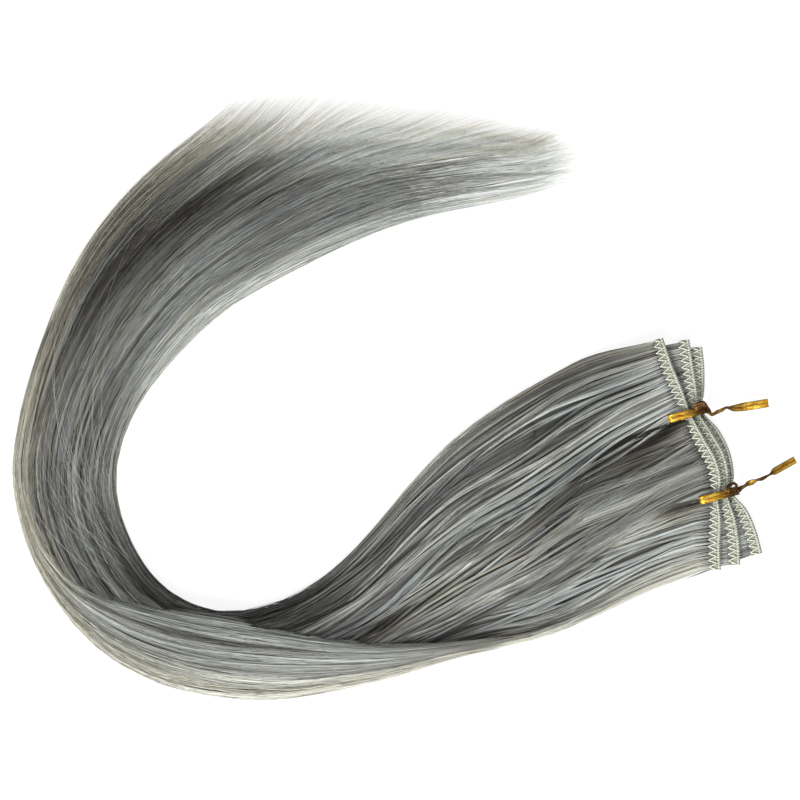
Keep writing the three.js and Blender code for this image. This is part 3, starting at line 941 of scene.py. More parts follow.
# Share of a fan's slide that its hair has made, by row of the tail.
FAN_SLIDES = ([0.6, 3.4, 6.5], [0, 0.6, 1])
FAN_LOCK_SLIDE = 0.03
# Some clumps cross the rest: their greatest share, where along the fan that is, by how much of the fan they
# move along it, and how much more for each share of the fan before them.
CROSSES = {
    "upper": (0.12, 0.5, 0.0, 0.15),
    "middle": (0.6, 0.2, 0.03, 1.0),
    "lower": (0.0, 0.5, 0.0, 0.0),
}
CROSS_REACH, CROSS_LIFT, CROSS_TONE, CROSS_EARLY, CROSS_LAST = 0.22, 0.5, 0.07, 0.5, 0.92
FAN_RISE_ROWS = 1.5
# Sway of the fan's locks, clumps and strands in mm, and their wave lengths.
FAN_SWAYS = [(1.2, (70, 130)), (0.8, (90, 200)), (0.22, (50, 140))]
FAN_SWAY_EASE = 40
# The dark notch behind a tie, a lens: how much it widens and how wide its tip is, as shares of the fan,
# its shade, how fast it ends, and its length by fan.
NOTCH_SHARE, NOTCH_TIP, NOTCH_SHADE, NOTCH_ENDING = 0.13, 0.03, 0.62, 4
NOTCH_LENGTHS = {"middle": 52, "lower": 22}
FIRST_ROW = -1
# At the track the hair is drawn together under the points of the zigzag: by how much, and for what length.
PINCH, PINCH_LENGTH, PINCH_LAST_ROW = 0.32, 7, 9.75
# Hair is in shade beside the fold: how deep, how far from its edge, over what share across, from which row.
FOLD_SHADOW, FOLD_SHADOW_OFF, FOLD_SHADOW_REACH, FOLD_SHADOW_ROW = 0.42, 0.04, 0.1, 2.2
# The slits are painted shade between the locks.
# Dark slits between the locks of a fan: how many, half width as a share of the fan, mm from the track, half
# length, shade. The first kind lies all along the fan, the second at the track.
FAN_SLITS = [
    (12, (0.008, 0.025), (15, 150), (12, 34), (0.1, 0.3)),
    (16, (0.006, 0.014), (3, 14), (6, 14), (0.15, 0.35)),
]


def fan_places(fan_name):
    """Shares along a fan, crowded towards an edge of the tail."""
    share = np.sort(rng.uniform(0, 1, FAN_COUNT))
    if fan_name == "upper":
        return share**FAN_CROWDING
    if fan_name == "lower":
        return 1 - (1 - share) ** FAN_CROWDING
    return share


def pinched(track_row):
    """The way along the track to the nearest point of its zigzag; none beside a tie or at the last end."""
    points = clear_of_ties(resampled(TOP_LAYER, ZIGZAG_PITCH / 2))
    nearest = points[np.argmin(np.abs(track_row[:, None] - points), axis=1)]
    way = track_line(TOP_LAYER, nearest)[0] - track_line(TOP_LAYER, track_row)[0]
    way[:, 2] = 0
    near = np.linalg.norm(way, axis=1, keepdims=True) < ZIGZAG_PITCH
    return np.where(near & (track_row < PINCH_LAST_ROW)[:, None], PINCH * way, 0)


def fold_shade(row, across):
    """The shade on the hair beside the fold's upper edge."""
    off = across - np.interp(row, *FOLD_SHARES) - FOLD_SHADOW_OFF
    return FOLD_SHADOW * bell(off / FOLD_SHADOW_REACH) * smooth(row - FOLD_SHADOW_ROW)


def notch_shade(fan_name, place, travel):
    """The shade of the gap behind a tie, where a fan comes out under its neighbour."""
    if fan_name not in NOTCH_LENGTHS:
        return 0
    along = np.clip(travel / NOTCH_LENGTHS[fan_name], 0, 1)
    width = NOTCH_TIP + NOTCH_SHARE * np.sin(math.pi * along)
    return NOTCH_SHADE * bell(place[:, None] / width) * smooth(NOTCH_ENDING * (1 - along))


def fan_strands(fan_name, finish):
    """Hair of one fan of the top layer, from its track until it goes under the fold."""
    first, last, across_first, across_last, sunk, slide_first, slide_last = FANS[fan_name]
    place = fan_places(fan_name)
    each = np.arange(FAN_COUNT)
    deep = rng.uniform(0, 1, FAN_COUNT) < DEEP_SHARE
    lock, lock_middle = groups(place, FAN_LOCKS)
    clump, clump_middle = groups(place, FAN_CLUMPS)
    drawn = gathered(place, deep, clump_middle) + (lock_middle - place) * LOCK_PULL
    cross_share, cross_place, cross_shift, cross_more = CROSSES[fan_name]
    cross_share = cross_share * bell((clump_middle - cross_place) / CROSS_REACH)
    crosses = rng.uniform(0, 1, FAN_CLUMPS)[clump] < cross_share
    crosses &= clump_middle * (1 + cross_more) + cross_shift < CROSS_LAST
    drawn = np.clip(drawn + crosses * (cross_shift + cross_more * drawn), 0, 1)
    free = held(lerp(across_first, across_last, lock_middle))
    slide = lerp(slide_first, slide_last, drawn)
    slide = slide + rng.normal(0, FAN_LOCK_SLIDE, FAN_LOCKS)[lock] * free
    depth = (depths(deep, clump) - CROSS_LIFT * crosses)[:, None] + sunk

    join_row = (FAN_JOIN_ROW + rng.uniform(*FAN_JOIN_SPREAD, FAN_COUNT) - CROSS_EARLY * crosses)[:, None]
    end_row = rng.uniform(*FAN_END_ROWS, FAN_COUNT)[:, None]
    row = lerp(join_row, end_row, span(FAN_BODY_RINGS)[None])
    across = lerp(across_first, across_last, drawn)[:, None] - slide[:, None] * np.interp(row, *FAN_SLIDES)
    across = np.clip(across, EDGE_CLEAR, 1 - EDGE_CLEAR)
    tail_depth = depth - sunk * smooth((row - join_row) / FAN_RISE_ROWS)
    height = np.maximum(tail_top(row, across) - tail_depth, rng.uniform(*FAN_LOWEST, (FAN_COUNT, 1)))
    tail = with_height(tail_at(row, across), height)
    flow = tail[:, 1] - tail[:, 0]
    flow[:, 2] = 0
    share = np.broadcast_to(span(FAN_HEAD_RINGS), (FAN_COUNT, FAN_HEAD_RINGS))
    track_row = lerp(first, last, place)
    head = fan_curve(TOP_LAYER, fan_name, track_row, tail[:, 0], unit(flow), share)
    paths = np.concatenate([head[:, :-1], tail], axis=1)

    travel = travelled(paths)
    shift = waves(FAN_SWAYS, (lock, clump, each), travel) * smooth(travel / FAN_SWAY_EASE) * free[:, None]
    paths = swayed(paths, shift - bulge(fan_name, place, travel))
    paths = paths + pinched(track_row)[:, None] * np.exp(-travel / PINCH_LENGTH)[..., None]

    head_row = lerp(FIRST_ROW, join_row, share[:, :-1])
    rows = np.concatenate([head_row, row], axis=1)
    places = np.concatenate([across[:, :1] + 0 * head_row, across], axis=1)
    tone = FAN_TONES[fan_name] + FAN_CONTRASTS[fan_name] * strand_tones(place, FAN_TONE_SPREAD)
    own = own_share(place, FAN_FINE)
    # Painted shade of the notch behind a tie and of the slits between locks.
    gap_shade = notch_shade(fan_name, place, travel) + spots(slits(FAN_SLITS), place[:, None], travel)
    # Painted light and shade, with some of the hair's own tone, by place on the tail and along the fan.
    tone_and_light = spots(TONES_AND_PAINTED_LIGHT, rows, places) + spots(FAN_LIGHT_AND_SHADE[fan_name], place[:, None], travel)
    tone = tone - DEEP_SHADE * deep[:, None] + CROSS_TONE * crosses[:, None] - fold_shade(rows, places)
    tone = tone + own * (tone_and_light - gap_shade) + waves(SHEENS, (each, clump), travel)
    warmth = FAN_WARMTH + group_tones(place, FAN_WARMTH_SPREAD)
    warmth = warmth + EDGE_WARM * bell(to_edge(places) / EDGE_WARM_REACH) + GAP_SHADE_WARMTH * gap_shade
    radius = strand_radius(travel, FAN_START, FAN_END)
    strands("hair_fan_" + fan_name, paths, radius, tone, warmth, finish)


ROOT_COUNT, ROOT_RINGS, ROOT_END = 260, 7, 5
ROOT_SHARES = (0.35, 0.5)
# How far the roots sink at random, and how fast along them.
ROOT_SINK, ROOT_SINKING = 0.6, 4
ROOT_TONES, ROOT_TONE_SPREAD = {"upper": 0.68, "middle": 0.72, "lower": 0.84}, [(24, 0.12), (60, 0.1)]
ROOT_WARMTH = 0.4


def root_strands(finish):
    """Short lengths of hair between one track and the next, from the two layers underneath."""
    paths, tones = [], []
    share = span(ROOT_RINGS)[None]
    for layer in range(TOP_LAYER):
        for name, (first, last, across_first, across_last, *_) in FANS.items():
            place = np.sort(rng.uniform(0, 1, ROOT_COUNT))
            end, flow = fan_end(np.full(ROOT_COUNT, FAN_JOIN_ROW), lerp(across_first, across_last, place), 0)
            shown = rng.uniform(*ROOT_SHARES, (ROOT_COUNT, 1)) * share
            path = fan_curve(layer, name, lerp(first, last, place), end, flow, shown)
            path[..., 2] -= rng.uniform(0, ROOT_SINK, (ROOT_COUNT, 1)) * np.minimum(1, ROOT_SINKING * share)
            paths.append(path)
            tones.append(ROOT_TONES[name] + strand_tones(place, ROOT_TONE_SPREAD))
    paths, tones = np.concatenate(paths), np.concatenate(tones)
    radius = strand_radius(travelled(paths), FAN_START, ROOT_END)
    strands("hair_roots", paths, radius, tones, ROOT_WARMTH, finish)


# Share of the tail's width that the folded lock takes up, by row of the tail.
FOLD_SHARES = (
    [2, 4, 5, 6, 7, 8, 9, 10, 11, 12, 13, 19],
    [0.02, 0.12, 0.25, 0.42, 0.68, 0.91, 0.94, 0.6, 0.34, 0.14, 0.07, 0.05],
)
# The row of the tail beside the first row of the fold, and the rows of the fold over which its hair joins.
FOLD_ROW_SHIFT, FOLD_JOIN_ROW, FOLD_JOIN_ROWS = 2, 8.0, 2.6
FOLD_OVER_TAIL = 0.5
FOLD_COUNT, FOLD_RINGS = 860, 22
FOLD_LOCKS, FOLD_CLUMPS, FOLD_FINE = 6, 36, 120
FOLD_START, FOLD_END = 60, 40
FOLD_FIRST_ROWS, FOLD_LAST_ROWS = (1.2, 3.0), (10.2, 13.5)
# Tone and warmth of the fold from its outer to its inner edge, and how they change along the tail's rim.
# These tones hold painted light and shade besides the hair's own tone.
FOLD_PLACES = [0, 0.12, 0.35, 0.55, 0.85, 1]
FOLD_TONES, FOLD_WARMTHS = [0.85, 0.81, 0.71, 0.64, 0.78, 0.7], [0.8, 0.75, 0.5, 0.4, 0.25, 0.3]
FOLD_TONE_SPREAD = [(FOLD_LOCKS, 0.03), (FOLD_CLUMPS, 0.06), (FOLD_FINE, 0.06)]
FOLD_WARMTH_SPREAD = [(FOLD_CLUMPS, 0.12)]
FOLD_RIM_SHADE, FOLD_RIM_WARMTH = 0.02, 0.7
# The fold is in shade where it bends up into the tail: about which row, over how many, by how much.
FOLD_BEND_ROW, FOLD_BEND_ROWS, FOLD_BEND_SHADE = 7.8, 1.5, 0.1
# It starts out paler and warmer: over how many rows, and by how much.
FOLD_PALE_ROWS, FOLD_PALE, FOLD_PALE_WARMTH = 4.0, 0.14, 0.5
# Painted shade in slits between the locks of the fold, in the same columns as the fans' slits.
FOLD_SLITS = [(22, (0.006, 0.02), (50, 210), (12, 40), (0.12, 0.34))]
# Sway of its clumps and strands in mm, and their wave lengths.
FOLD_SWAYS, FOLD_SWAY_EASE = [(0.6, (60, 140)), (0.4, (50, 160))], 60
# Hair at the fold's outer edge and along the tail's rim sways less: where, by what share across, how
# little.
FOLD_OUTERMOST, FOLD_HOLD, FOLD_HOLD_LEAST = 0.03, 0.12, 0.2


def fold_strands(finish):
    """The lock over the foot of the hook, and on along the outer edge of the tail."""
    place = np.sort(rng.uniform(0, 1, FOLD_COUNT))
    each = np.arange(FOLD_COUNT)
    deep = rng.uniform(0, 1, FOLD_COUNT) < DEEP_SHARE
    clump, clump_middle = groups(place, FOLD_CLUMPS)
    drawn = lerp(FOLD_OUTERMOST, 1, gathered(place, deep, clump_middle))
    first = rng.uniform(*FOLD_FIRST_ROWS, (FOLD_COUNT, 1))
    last = rng.uniform(*FOLD_LAST_ROWS, (FOLD_COUNT, 1))
    row = lerp(first, last, span(FOLD_RINGS)[None])
    across = drawn[:, None] + 0 * row
    on_fold = fold_at(np.minimum(row, len(FOLD_ROWS) - 1), across)
    tail_row = row + FOLD_ROW_SHIFT
    tail_across = across * np.interp(tail_row, *FOLD_SHARES)
    on_tail = with_height(tail_at(tail_row, tail_across), tail_top(tail_row, tail_across) + FOLD_OVER_TAIL)
    joined = smooth((row - FOLD_JOIN_ROW) / FOLD_JOIN_ROWS)
    paths = lerp(on_fold, on_tail, joined[..., None])
    paths[..., 2] -= depths(deep, clump)[:, None]

    travel = travelled(paths)
    free = np.minimum(smooth(place / FOLD_HOLD)[:, None], 1 - joined)
    shift = waves(FOLD_SWAYS, (clump, each), travel) * smooth(travel / FOLD_SWAY_EASE)
    paths = swayed(paths, shift * lerp(FOLD_HOLD_LEAST, 1, free))

    begun = 1 - smooth(row / FOLD_PALE_ROWS)
    tone = np.interp(place, FOLD_PLACES, FOLD_TONES)[:, None] + strand_tones(place, FOLD_TONE_SPREAD)
    tone = tone - DEEP_SHADE * deep[:, None] + waves(SHEENS, (each, clump), travel)
    tone = tone - FOLD_RIM_SHADE * joined - FOLD_BEND_SHADE * bell((row - FOLD_BEND_ROW) / FOLD_BEND_ROWS)
    warmth = np.interp(place, FOLD_PLACES, FOLD_WARMTHS)[:, None] + group_tones(place, FOLD_WARMTH_SPREAD)
    warmth = warmth + FOLD_RIM_WARMTH * joined + FOLD_PALE_WARMTH * begun
    tone = tone + FOLD_PALE * begun * (1 - place)[:, None] - spots(slits(FOLD_SLITS), place[:, None], travel)
    strands("hair_fold", paths, strand_radius(travel, FOLD_START, FOLD_END), tone, warmth, finish)


# Towards the tips the hair spreads outwards, the more the nearer it lies to the outer edge.
SPREAD_ROW, SPREAD_EASE, SPREAD_RATE = 18.3, 1.4, 0.38
SPREAD_LEAST, SPREAD_STEPS = 0.78, 400
TIP_LAST_ROW, TIP_JITTER = 25.2, 0.3
# Along the outer edge the tips thin out over this share of the width, and the outermost end in these rows.
FADE_WIDTH, FADE_POWER = 0.42, 0.8
FADE_ROWS = (18.5, 19.7)
PAST_EDGE = -0.02
# Hair from further in reaches the outer edge near the points, where it hardly thins out: place, share left.
LATE_FADES = ((0.45, 0.75), (1, 0.2))
# Towards the points ever less of the hair is left: from which row, and how many rows it lasts on average.
WEAR_ROW, WEAR_ROWS = 20.5, 0.55


def spread_by(row):
    """How many rows of spreading a row of the tail has behind it."""
    eased = np.clip((row - SPREAD_ROW) / SPREAD_EASE, 0, 1)
    return SPREAD_EASE * (eased**3 - eased**4 / 2) + np.maximum(0, row - SPREAD_ROW - SPREAD_EASE)


def spread_across(base, row):
    """Where a strand lies across the tail at a row, once the tips have spread."""
    return 1 - 1 / np.maximum(SPREAD_LEAST, 1 / np.maximum(TINY, 1 - base) - SPREAD_RATE * spread_by(row))


def spread_row(base, across):
    """The row at which a strand comes to a place across the tail."""
    rows = np.linspace(SPREAD_ROW, 2 * TIP_LAST_ROW, SPREAD_STEPS)
    needed = (1 / np.maximum(TINY, 1 - base) - 1 / (1 - across)) / SPREAD_RATE
    return np.interp(needed, spread_by(rows), rows)


def point_row(across):
    """The row at which hair at a place across the tips ends."""
    ends = np.interp(across, np.linspace(*TIP_SIDES, len(TIP_ENDS)), TIP_ENDS)
    return np.minimum(ends + rng.normal(0, TIP_JITTER, len(across)), TIP_LAST_ROW)


def last_rows(base):
    """Where each strand ends: in the fade along the outer edge, or at the points of the tips."""
    count = len(base)
    faded = FADE_WIDTH * rng.uniform(0, 1, count) ** FADE_POWER * np.interp(base, *LATE_FADES)
    thin_row = np.maximum(spread_row(base, faded), rng.uniform(*FADE_ROWS, count))
    thin_row = np.minimum(thin_row, spread_row(base, PAST_EDGE))
    worn_row = WEAR_ROW + rng.exponential(WEAR_ROWS, count)
    return np.minimum(np.minimum(thin_row, worn_row), point_row(spread_across(base, TIP_LAST_ROW)))


TAIL_LOCKS, TAIL_CLUMPS, TAIL_FINE = 7, 45, 180
TAIL_TONE, TAIL_TONE_SPREAD = 0.58, [(TAIL_LOCKS, 0.05), (TAIL_CLUMPS, 0.05), (TAIL_FINE, 0.04)]
TAIL_WARMTH, TAIL_WARMTH_SPREAD = 0.4, [(TAIL_CLUMPS, 0.2)]
# Sway of the clumps and strands in mm, and their wave lengths.
TAIL_SWAYS = [(0.8, (90, 200)), (0.28, (60, 200))]
# A strand drifts across the tail by this share of its width for each row.
TAIL_DRIFT = 0.005
# Hair near the tail's edges lies lower at random and is painted lighter: painted light along the edges.
RIM, RIM_HEIGHTS, RIM_LIGHT = 0.05, (0.1, 1), 0.08
RIM_WARM, RIM_WARM_REACH = 0.75, 0.24
INNER_WARM, INNER_WARM_REACH, INNER_WARM_ROW = 0.12, 0.1, 20
TAIL_LOWEST = 0.25
TAIL_START, TAIL_END = 40, 55
# Hair lightens towards its tips: by how much, and over how many rows.
TIP_LIGHT, TIP_LIGHT_ROWS = 0.34, 2.4


def curl_strands(name, base, first, last, rings, finish, end=TAIL_END, light=0, thin=1, sway=1):
    """Strands of the curl, in order of their places across it, between their first and last rows."""
    count = len(base)
    each = np.arange(count)
    place = each / count
    deep = rng.uniform(0, 1, count) < DEEP_SHARE
    clump, _ = groups(place, TAIL_CLUMPS)
    row = lerp(first[:, None], last[:, None], span(rings)[None])
    drift = rng.normal(0, TAIL_DRIFT, (count, 1)) * (row - np.mean(row, axis=1, keepdims=True))
    across = spread_across(np.clip(base[:, None] + drift, EDGE_CLEAR, 1 - EDGE_CLEAR), row)
    height = tail_top(row, across) - depths(deep, clump)[:, None]
    rim = (to_edge(base) < RIM)[:, None]
    height = np.where(rim, height * rng.uniform(*RIM_HEIGHTS, (count, 1)), height)
    paths = with_height(tail_at(row, across), np.maximum(height, TAIL_LOWEST))
    along = row * ROW_LENGTH
    paths = swayed(paths, sway * waves(TAIL_SWAYS, (clump, each), along) * held(base)[:, None])
    tone = TAIL_TONE + light + strand_tones(place, TAIL_TONE_SPREAD)
    tone = tone - DEEP_SHADE * deep[:, None] + RIM_LIGHT * rim
    tone = tone + own_share(place, TAIL_FINE) * spots(TONES_AND_PAINTED_LIGHT, row, across)
    tone = tone + waves(SHEENS, (each, clump), along)
    tone = tone + TIP_LIGHT * smooth(1 - (last[:, None] - row) / TIP_LIGHT_ROWS)
    warmth = TAIL_WARMTH + group_tones(place, TAIL_WARMTH_SPREAD) + RIM_WARM * bell(across / RIM_WARM_REACH)
    inner = bell((1 - across) / INNER_WARM_REACH)
    warmth = warmth + INNER_WARM * inner * smooth(INNER_WARM_ROW - row)
    radius = thin * strand_radius(travelled(paths), TAIL_START, end)
    strands(name, paths, radius, tone, warmth, finish)


TAIL_COUNT, TAIL_RINGS = 820, 22
TAIL_FIRST_ROWS = (5.5, 9)
# The outermost hair starts further on, under the fold: by how many rows, and up to what share across.
LATE_START, LATE_START_REACH = 3, 0.1
# Over 1, hair crowds towards the edges of the tail.
EDGE_CROWDING = 1.06


def tail_strands(side, finish):
    """Hair of one half of the curl, the outer or the inner, from under the fold to the tips."""
    place = np.sort(rng.uniform(0, 1, TAIL_COUNT))
    _, clump_middle = groups(place, TAIL_CLUMPS)
    drawn = lerp(place, clump_middle, CLUMP_PULL * rng.uniform(0, 1, TAIL_COUNT))
    base = drawn**EDGE_CROWDING / 2 if side == "outer" else 1 - (1 - drawn) ** EDGE_CROWDING / 2
    first = rng.uniform(*TAIL_FIRST_ROWS, TAIL_COUNT) + LATE_START * bell(base / LATE_START_REACH)
    curl_strands("hair_tail_" + side, base, first, last_rows(base), TAIL_RINGS, finish)


def end_strands(name, across, last, lengths, rings, finish, **looks):
    """Strands of the curl that end at given places across it and rows, with limits of their lengths."""
    base = 1 - 1 / (1 / np.maximum(TINY, 1 - across) + SPREAD_RATE * spread_by(last))
    order = np.argsort(base)
    first = last - rng.uniform(*lengths, len(base))
    curl_strands(name, base[order], first[order], last[order], rings, finish, **looks)


TIP_COUNT, TIP_RINGS, TIP_END = 400, 11, 24
TIP_LENGTHS, TIP_SHORT = (3, 6), 0.6
# Under 1, the tips crowd towards the inner edge.
TIP_CROWDING = 0.72


def tip_strands(finish):
    """More hair towards the tips, which ends at their points."""
    across = lerp(*TIP_SIDES, rng.uniform(0, 1, TIP_COUNT) ** TIP_CROWDING)
    last = point_row(across) - rng.exponential(TIP_SHORT, TIP_COUNT)
    end_strands("hair_tips", across, last, TIP_LENGTHS, TIP_RINGS, finish, end=TIP_END)


FRINGE_COUNT, FRINGE_RINGS = 4000, 5
FRINGE_ROWS, FRINGE_LENGTHS = (18.8, 24.2), (0.8, 2.2)
# By row of the tail, where the fringe starts across, and the share of its width that is left.
FRINGE_STARTS, FRINGE_INNER = ((19.1, 20.0), (0.04, -0.13)), 0.4
FRINGE_NARROWS = ((22, 24.2), (1, 0.4))
FRINGE_LOOKS = {"end": 42, "light": 0.1, "thin": 0.52, "sway": 0.3}
# Over 1, the fringe crowds towards its first rows.
FRINGE_CROWDING = 1.35


def fringe_strands(finish):
    """Fine light ends of hair along the thinning outer edge."""
    last = lerp(*FRINGE_ROWS, rng.uniform(0, 1, FRINGE_COUNT) ** FRINGE_CROWDING)
    across = lerp(np.interp(last, *FRINGE_STARTS), FRINGE_INNER, rng.uniform(0, 1, FRINGE_COUNT))
    across = across * np.interp(last, *FRINGE_NARROWS)
    end_strands("hair_fringe", across, last, FRINGE_LENGTHS, FRINGE_RINGS, finish, **FRINGE_LOOKS)


STRAY_COUNT, STRAY_RINGS = 28, 20
STRAY_SHAPE = (STRAY_COUNT, 1)
STRAY_FIRST_ROWS, STRAY_LENGTHS, STRAY_LAST_ROW = (10.6, 14), (1.8, 3.4), 18
STRAY_ACROSS, STRAY_DRIFTS, STRAY_CLEAR = (0.6, 1.0), (-0.75, -0.3), 0.02
STRAY_LIFTS, STRAY_THIN = (0.0, 0.4), 0.75
STRAY_TONE, STRAY_TONE_SPREAD, STRAY_WARMTH = 0.86, 0.08, 0.5


def stray_strands(finish):
    """Single hairs that cross the others."""
    share = span(STRAY_RINGS)[None]
    first = rng.uniform(*STRAY_FIRST_ROWS, STRAY_SHAPE)
    last = np.minimum(first + rng.uniform(*STRAY_LENGTHS, STRAY_SHAPE), STRAY_LAST_ROW)
    row = lerp(first, last, share)
    across = rng.uniform(*STRAY_ACROSS, STRAY_SHAPE) + rng.uniform(*STRAY_DRIFTS, STRAY_SHAPE) * share
    across = np.clip(across, STRAY_CLEAR, 1 - STRAY_CLEAR)
    plan = tail_at(row, across)
    height = plan[..., 2] * np.maximum(EDGE_HEIGHT, dome(across, TAIL_DOME))
    paths = with_height(plan, height + rng.uniform(*STRAY_LIFTS, STRAY_SHAPE))
    tone = STRAY_TONE + rng.normal(0, STRAY_TONE_SPREAD, STRAY_SHAPE)
    radius = STRAY_THIN * strand_radius(travelled(paths), TAIL_START, TAIL_END)
    strands("hair_strays", paths, radius, tone, STRAY_WARMTH, finish)


# Weft tracks

TRACK_STEP, TRACK_SAMPLES = 0.5, 800
# Section of a band: share of its width towards the hair, and height. Its hem is rolled on the far side.
BAND_SECTION = np.array([
    (-0.5, 0.25),
    (-0.53, 0.9),
    (-0.5, 1.45),
    (-0.44, 1.75),
    (-0.37, 1.82),
    (-0.3, 1.7),
    (-0.25, 1.4),
    (-0.2, 1.2),
    (-0.1, 1.18),
    (0.0, 1.2),
    (0.1, 1.18),
    (0.2, 1.2),
    (0.3, 1.18),
    (0.4, 1.15),
    (0.48, 1.0),
    (0.5, 0.6),
])
BAND_FOOT, BAND_FOOT_WIDTH, BAND_WIDTH = 0.05, 0.93, 4
HEM_SIDE, HEM_RIPPLE, HEM_PITCH = -0.2, 0.07, 1.1


def resampled(layer, step):
    """Row numbers at even steps along a track."""
    fine = np.linspace(0, len(TRACKS[LAYERS[layer]]) - 1, TRACK_SAMPLES)
    length = travelled(track_line(layer, fine)[0])
    return np.interp(np.arange(0, length[-1], step), length, fine)


def band(layer, finish):
    row = resampled(layer, TRACK_STEP)
    point, width, to_hair, _ = track_line(layer, row)
    side, height = BAND_SECTION.T
    run = (np.arange(len(row)) * TRACK_STEP)[:, None]
    across = (side[None] * width[:, None])[..., None] * to_hair[:, None]
    ripple = HEM_RIPPLE * np.sin(run * 2 * math.pi / HEM_PITCH) * (side < HEM_SIDE)
    top = with_height(point[:, None] + across, point[:, None, 2] + height + ripple)
    foot = with_height(point[:, None] + across * BAND_FOOT_WIDTH, point[:, None, 2] + BAND_FOOT + 0 * height)
    ring, flow = body(top, foot, run, side[None] * BAND_WIDTH, layer)
    name = "weft_band_" + LAYERS[layer]
    mesh = loft_mesh(name, [ring], {"flow": flow.reshape(-1, 3)})
    piece(name, mesh, finish, ["weft_track_" + LAYERS[layer]])


ZIGZAG_PITCH, ZIGZAG_SIDES = 2.7, (-0.18, 0.56)
ZIGZAG_POINTS, ZIGZAG_CORNERS = 7, 6
ZIGZAG_LIFT, ZIGZAG_ARCH, ZIGZAG_JITTER = 0.34, 0.16, 0.02
# The thread's radius, and the share of it that is left where a stroke ends.
THREAD_RADIUS, THREAD_LEAST = 0.19, 0.75
TIE_CLEAR = 0.3
HEM_STITCH, HEM_STITCH_POINTS, HEM_STITCH_CORNERS = 1.0, 6, 5
HEM_STITCH_SIDES = (-0.56, -0.22)
HEM_STITCH_SLANT, HEM_STITCH_LIFT, HEM_STITCH_RADIUS = 0.25, 0.05, 0.1


def clear_of_ties(rows):
    return rows[np.all([np.abs(rows - tie) > TIE_CLEAR for tie in TIE_ROWS], axis=0)]


def zigzag(layer):
    """The thread that sews the hair to a track, a tube for each stroke."""
    corners = clear_of_ties(resampled(layer, ZIGZAG_PITCH / 2))
    share = span(ZIGZAG_POINTS)
    arch = np.sin(share * math.pi)
    for i, (first, last) in enumerate(zip(corners[:-1], corners[1:])):
        if last - first > TIE_CLEAR:
            continue
        point, width, to_hair, _ = track_line(layer, lerp(first, last, share))
        ends = ZIGZAG_SIDES if i % 2 else ZIGZAG_SIDES[::-1]
        place = lerp(*ends, share) + rng.normal(0, ZIGZAG_JITTER)
        path = point + to_hair * (place * width)[:, None]
        path[:, 2] += TRACK_THIN + ZIGZAG_LIFT + ZIGZAG_ARCH * arch
        yield tubes(path, THREAD_RADIUS * lerp(THREAD_LEAST, 1, arch), ZIGZAG_CORNERS)


def hem_stitches(layer):
    """The small stitches round the rolled hem."""
    share = span(HEM_STITCH_POINTS)
    bend = lerp(*HEM_STITCH_SIDES, share)
    height = np.interp(bend, BAND_SECTION[1:, 0], BAND_SECTION[1:, 1]) + HEM_STITCH_LIFT
    for row in clear_of_ties(resampled(layer, HEM_STITCH)):
        point, width, to_hair, along = track_line(layer, np.array([row]))
        path = point + to_hair * (bend * width)[:, None] + along * (HEM_STITCH_SLANT * share)[:, None]
        path[:, 2] += height
        yield tubes(path, HEM_STITCH_RADIUS, HEM_STITCH_CORNERS)


def stitching(layer, finish):
    rings = [*zigzag(layer), *hem_stitches(layer)]
    name = "stitching_" + LAYERS[layer]
    piece(name, loft_mesh(name, rings, turned=range(len(rings))), finish)


# Twist ties

TIE_WIDTH, TIE_THICK, TIE_HEADING = 3.5, 0.45, 15
TIE_CORNER, CORNER_POINTS = 2.0, 8
LOOP_LENGTH, LOOP_HEIGHT, LOOP_FLOOR = 16.6, 7.7, 0.35
LOOP_RINGS, STEM_RINGS, KNOT_RINGS = 96, 84, 40
LOOP_FOIL = 0.4
LOOP_PINCH, PINCH_PER_MM = 0.08, 0.9
# The shine column is painted light on the foil: high for painted highlight, low for painted brown shade.
# Left end of each loop, and its stem: x, y, z, width, thickness, turn in degrees, shine.
TIES = {
    "upper": ((104.9, -9.3), np.array([
        (120.6, -5.1, 3.9, 2.2, 1.2, 0, 0.02),
        (122.4, -7.0, 4.3, 1.9, 1.0, 70, 0.15),
        (125.6, -6.0, 4.8, 1.5, 0.9, 170, 0.35),
        (128.4, -4.8, 4.6, 1.7, 0.8, 270, 0.12),
        (131.6, -4.8, 4.2, 2.7, 0.6, 345, 0.3),
        (136.0, -4.2, 3.8, 3.4, 0.5, 365, 0.8),
        (145.2, -2.7, 3.4, 3.4, 0.5, 365, 1),
    ])),
    "lower": ((117.4, -41.9), np.array([
        (133.1, -37.7, 3.9, 2.2, 1.2, 0, 0.02),
        (135.2, -36, 4.4, 1.8, 1.0, 80, 0.1),
        (138.6, -34.4, 5.0, 2.2, 0.8, 200, 0.4),
        (142.2, -33.2, 4.8, 1.9, 0.8, 300, 0.2),
        (146.0, -31.2, 4.4, 1.0, 0.8, 360, 0.06),
        (148.0, -29.9, 4.2, 3.0, 0.6, 378, 0.4),
        (156.0, -25.4, 3.8, 3.0, 0.5, 380, 0.7),
    ])),
}
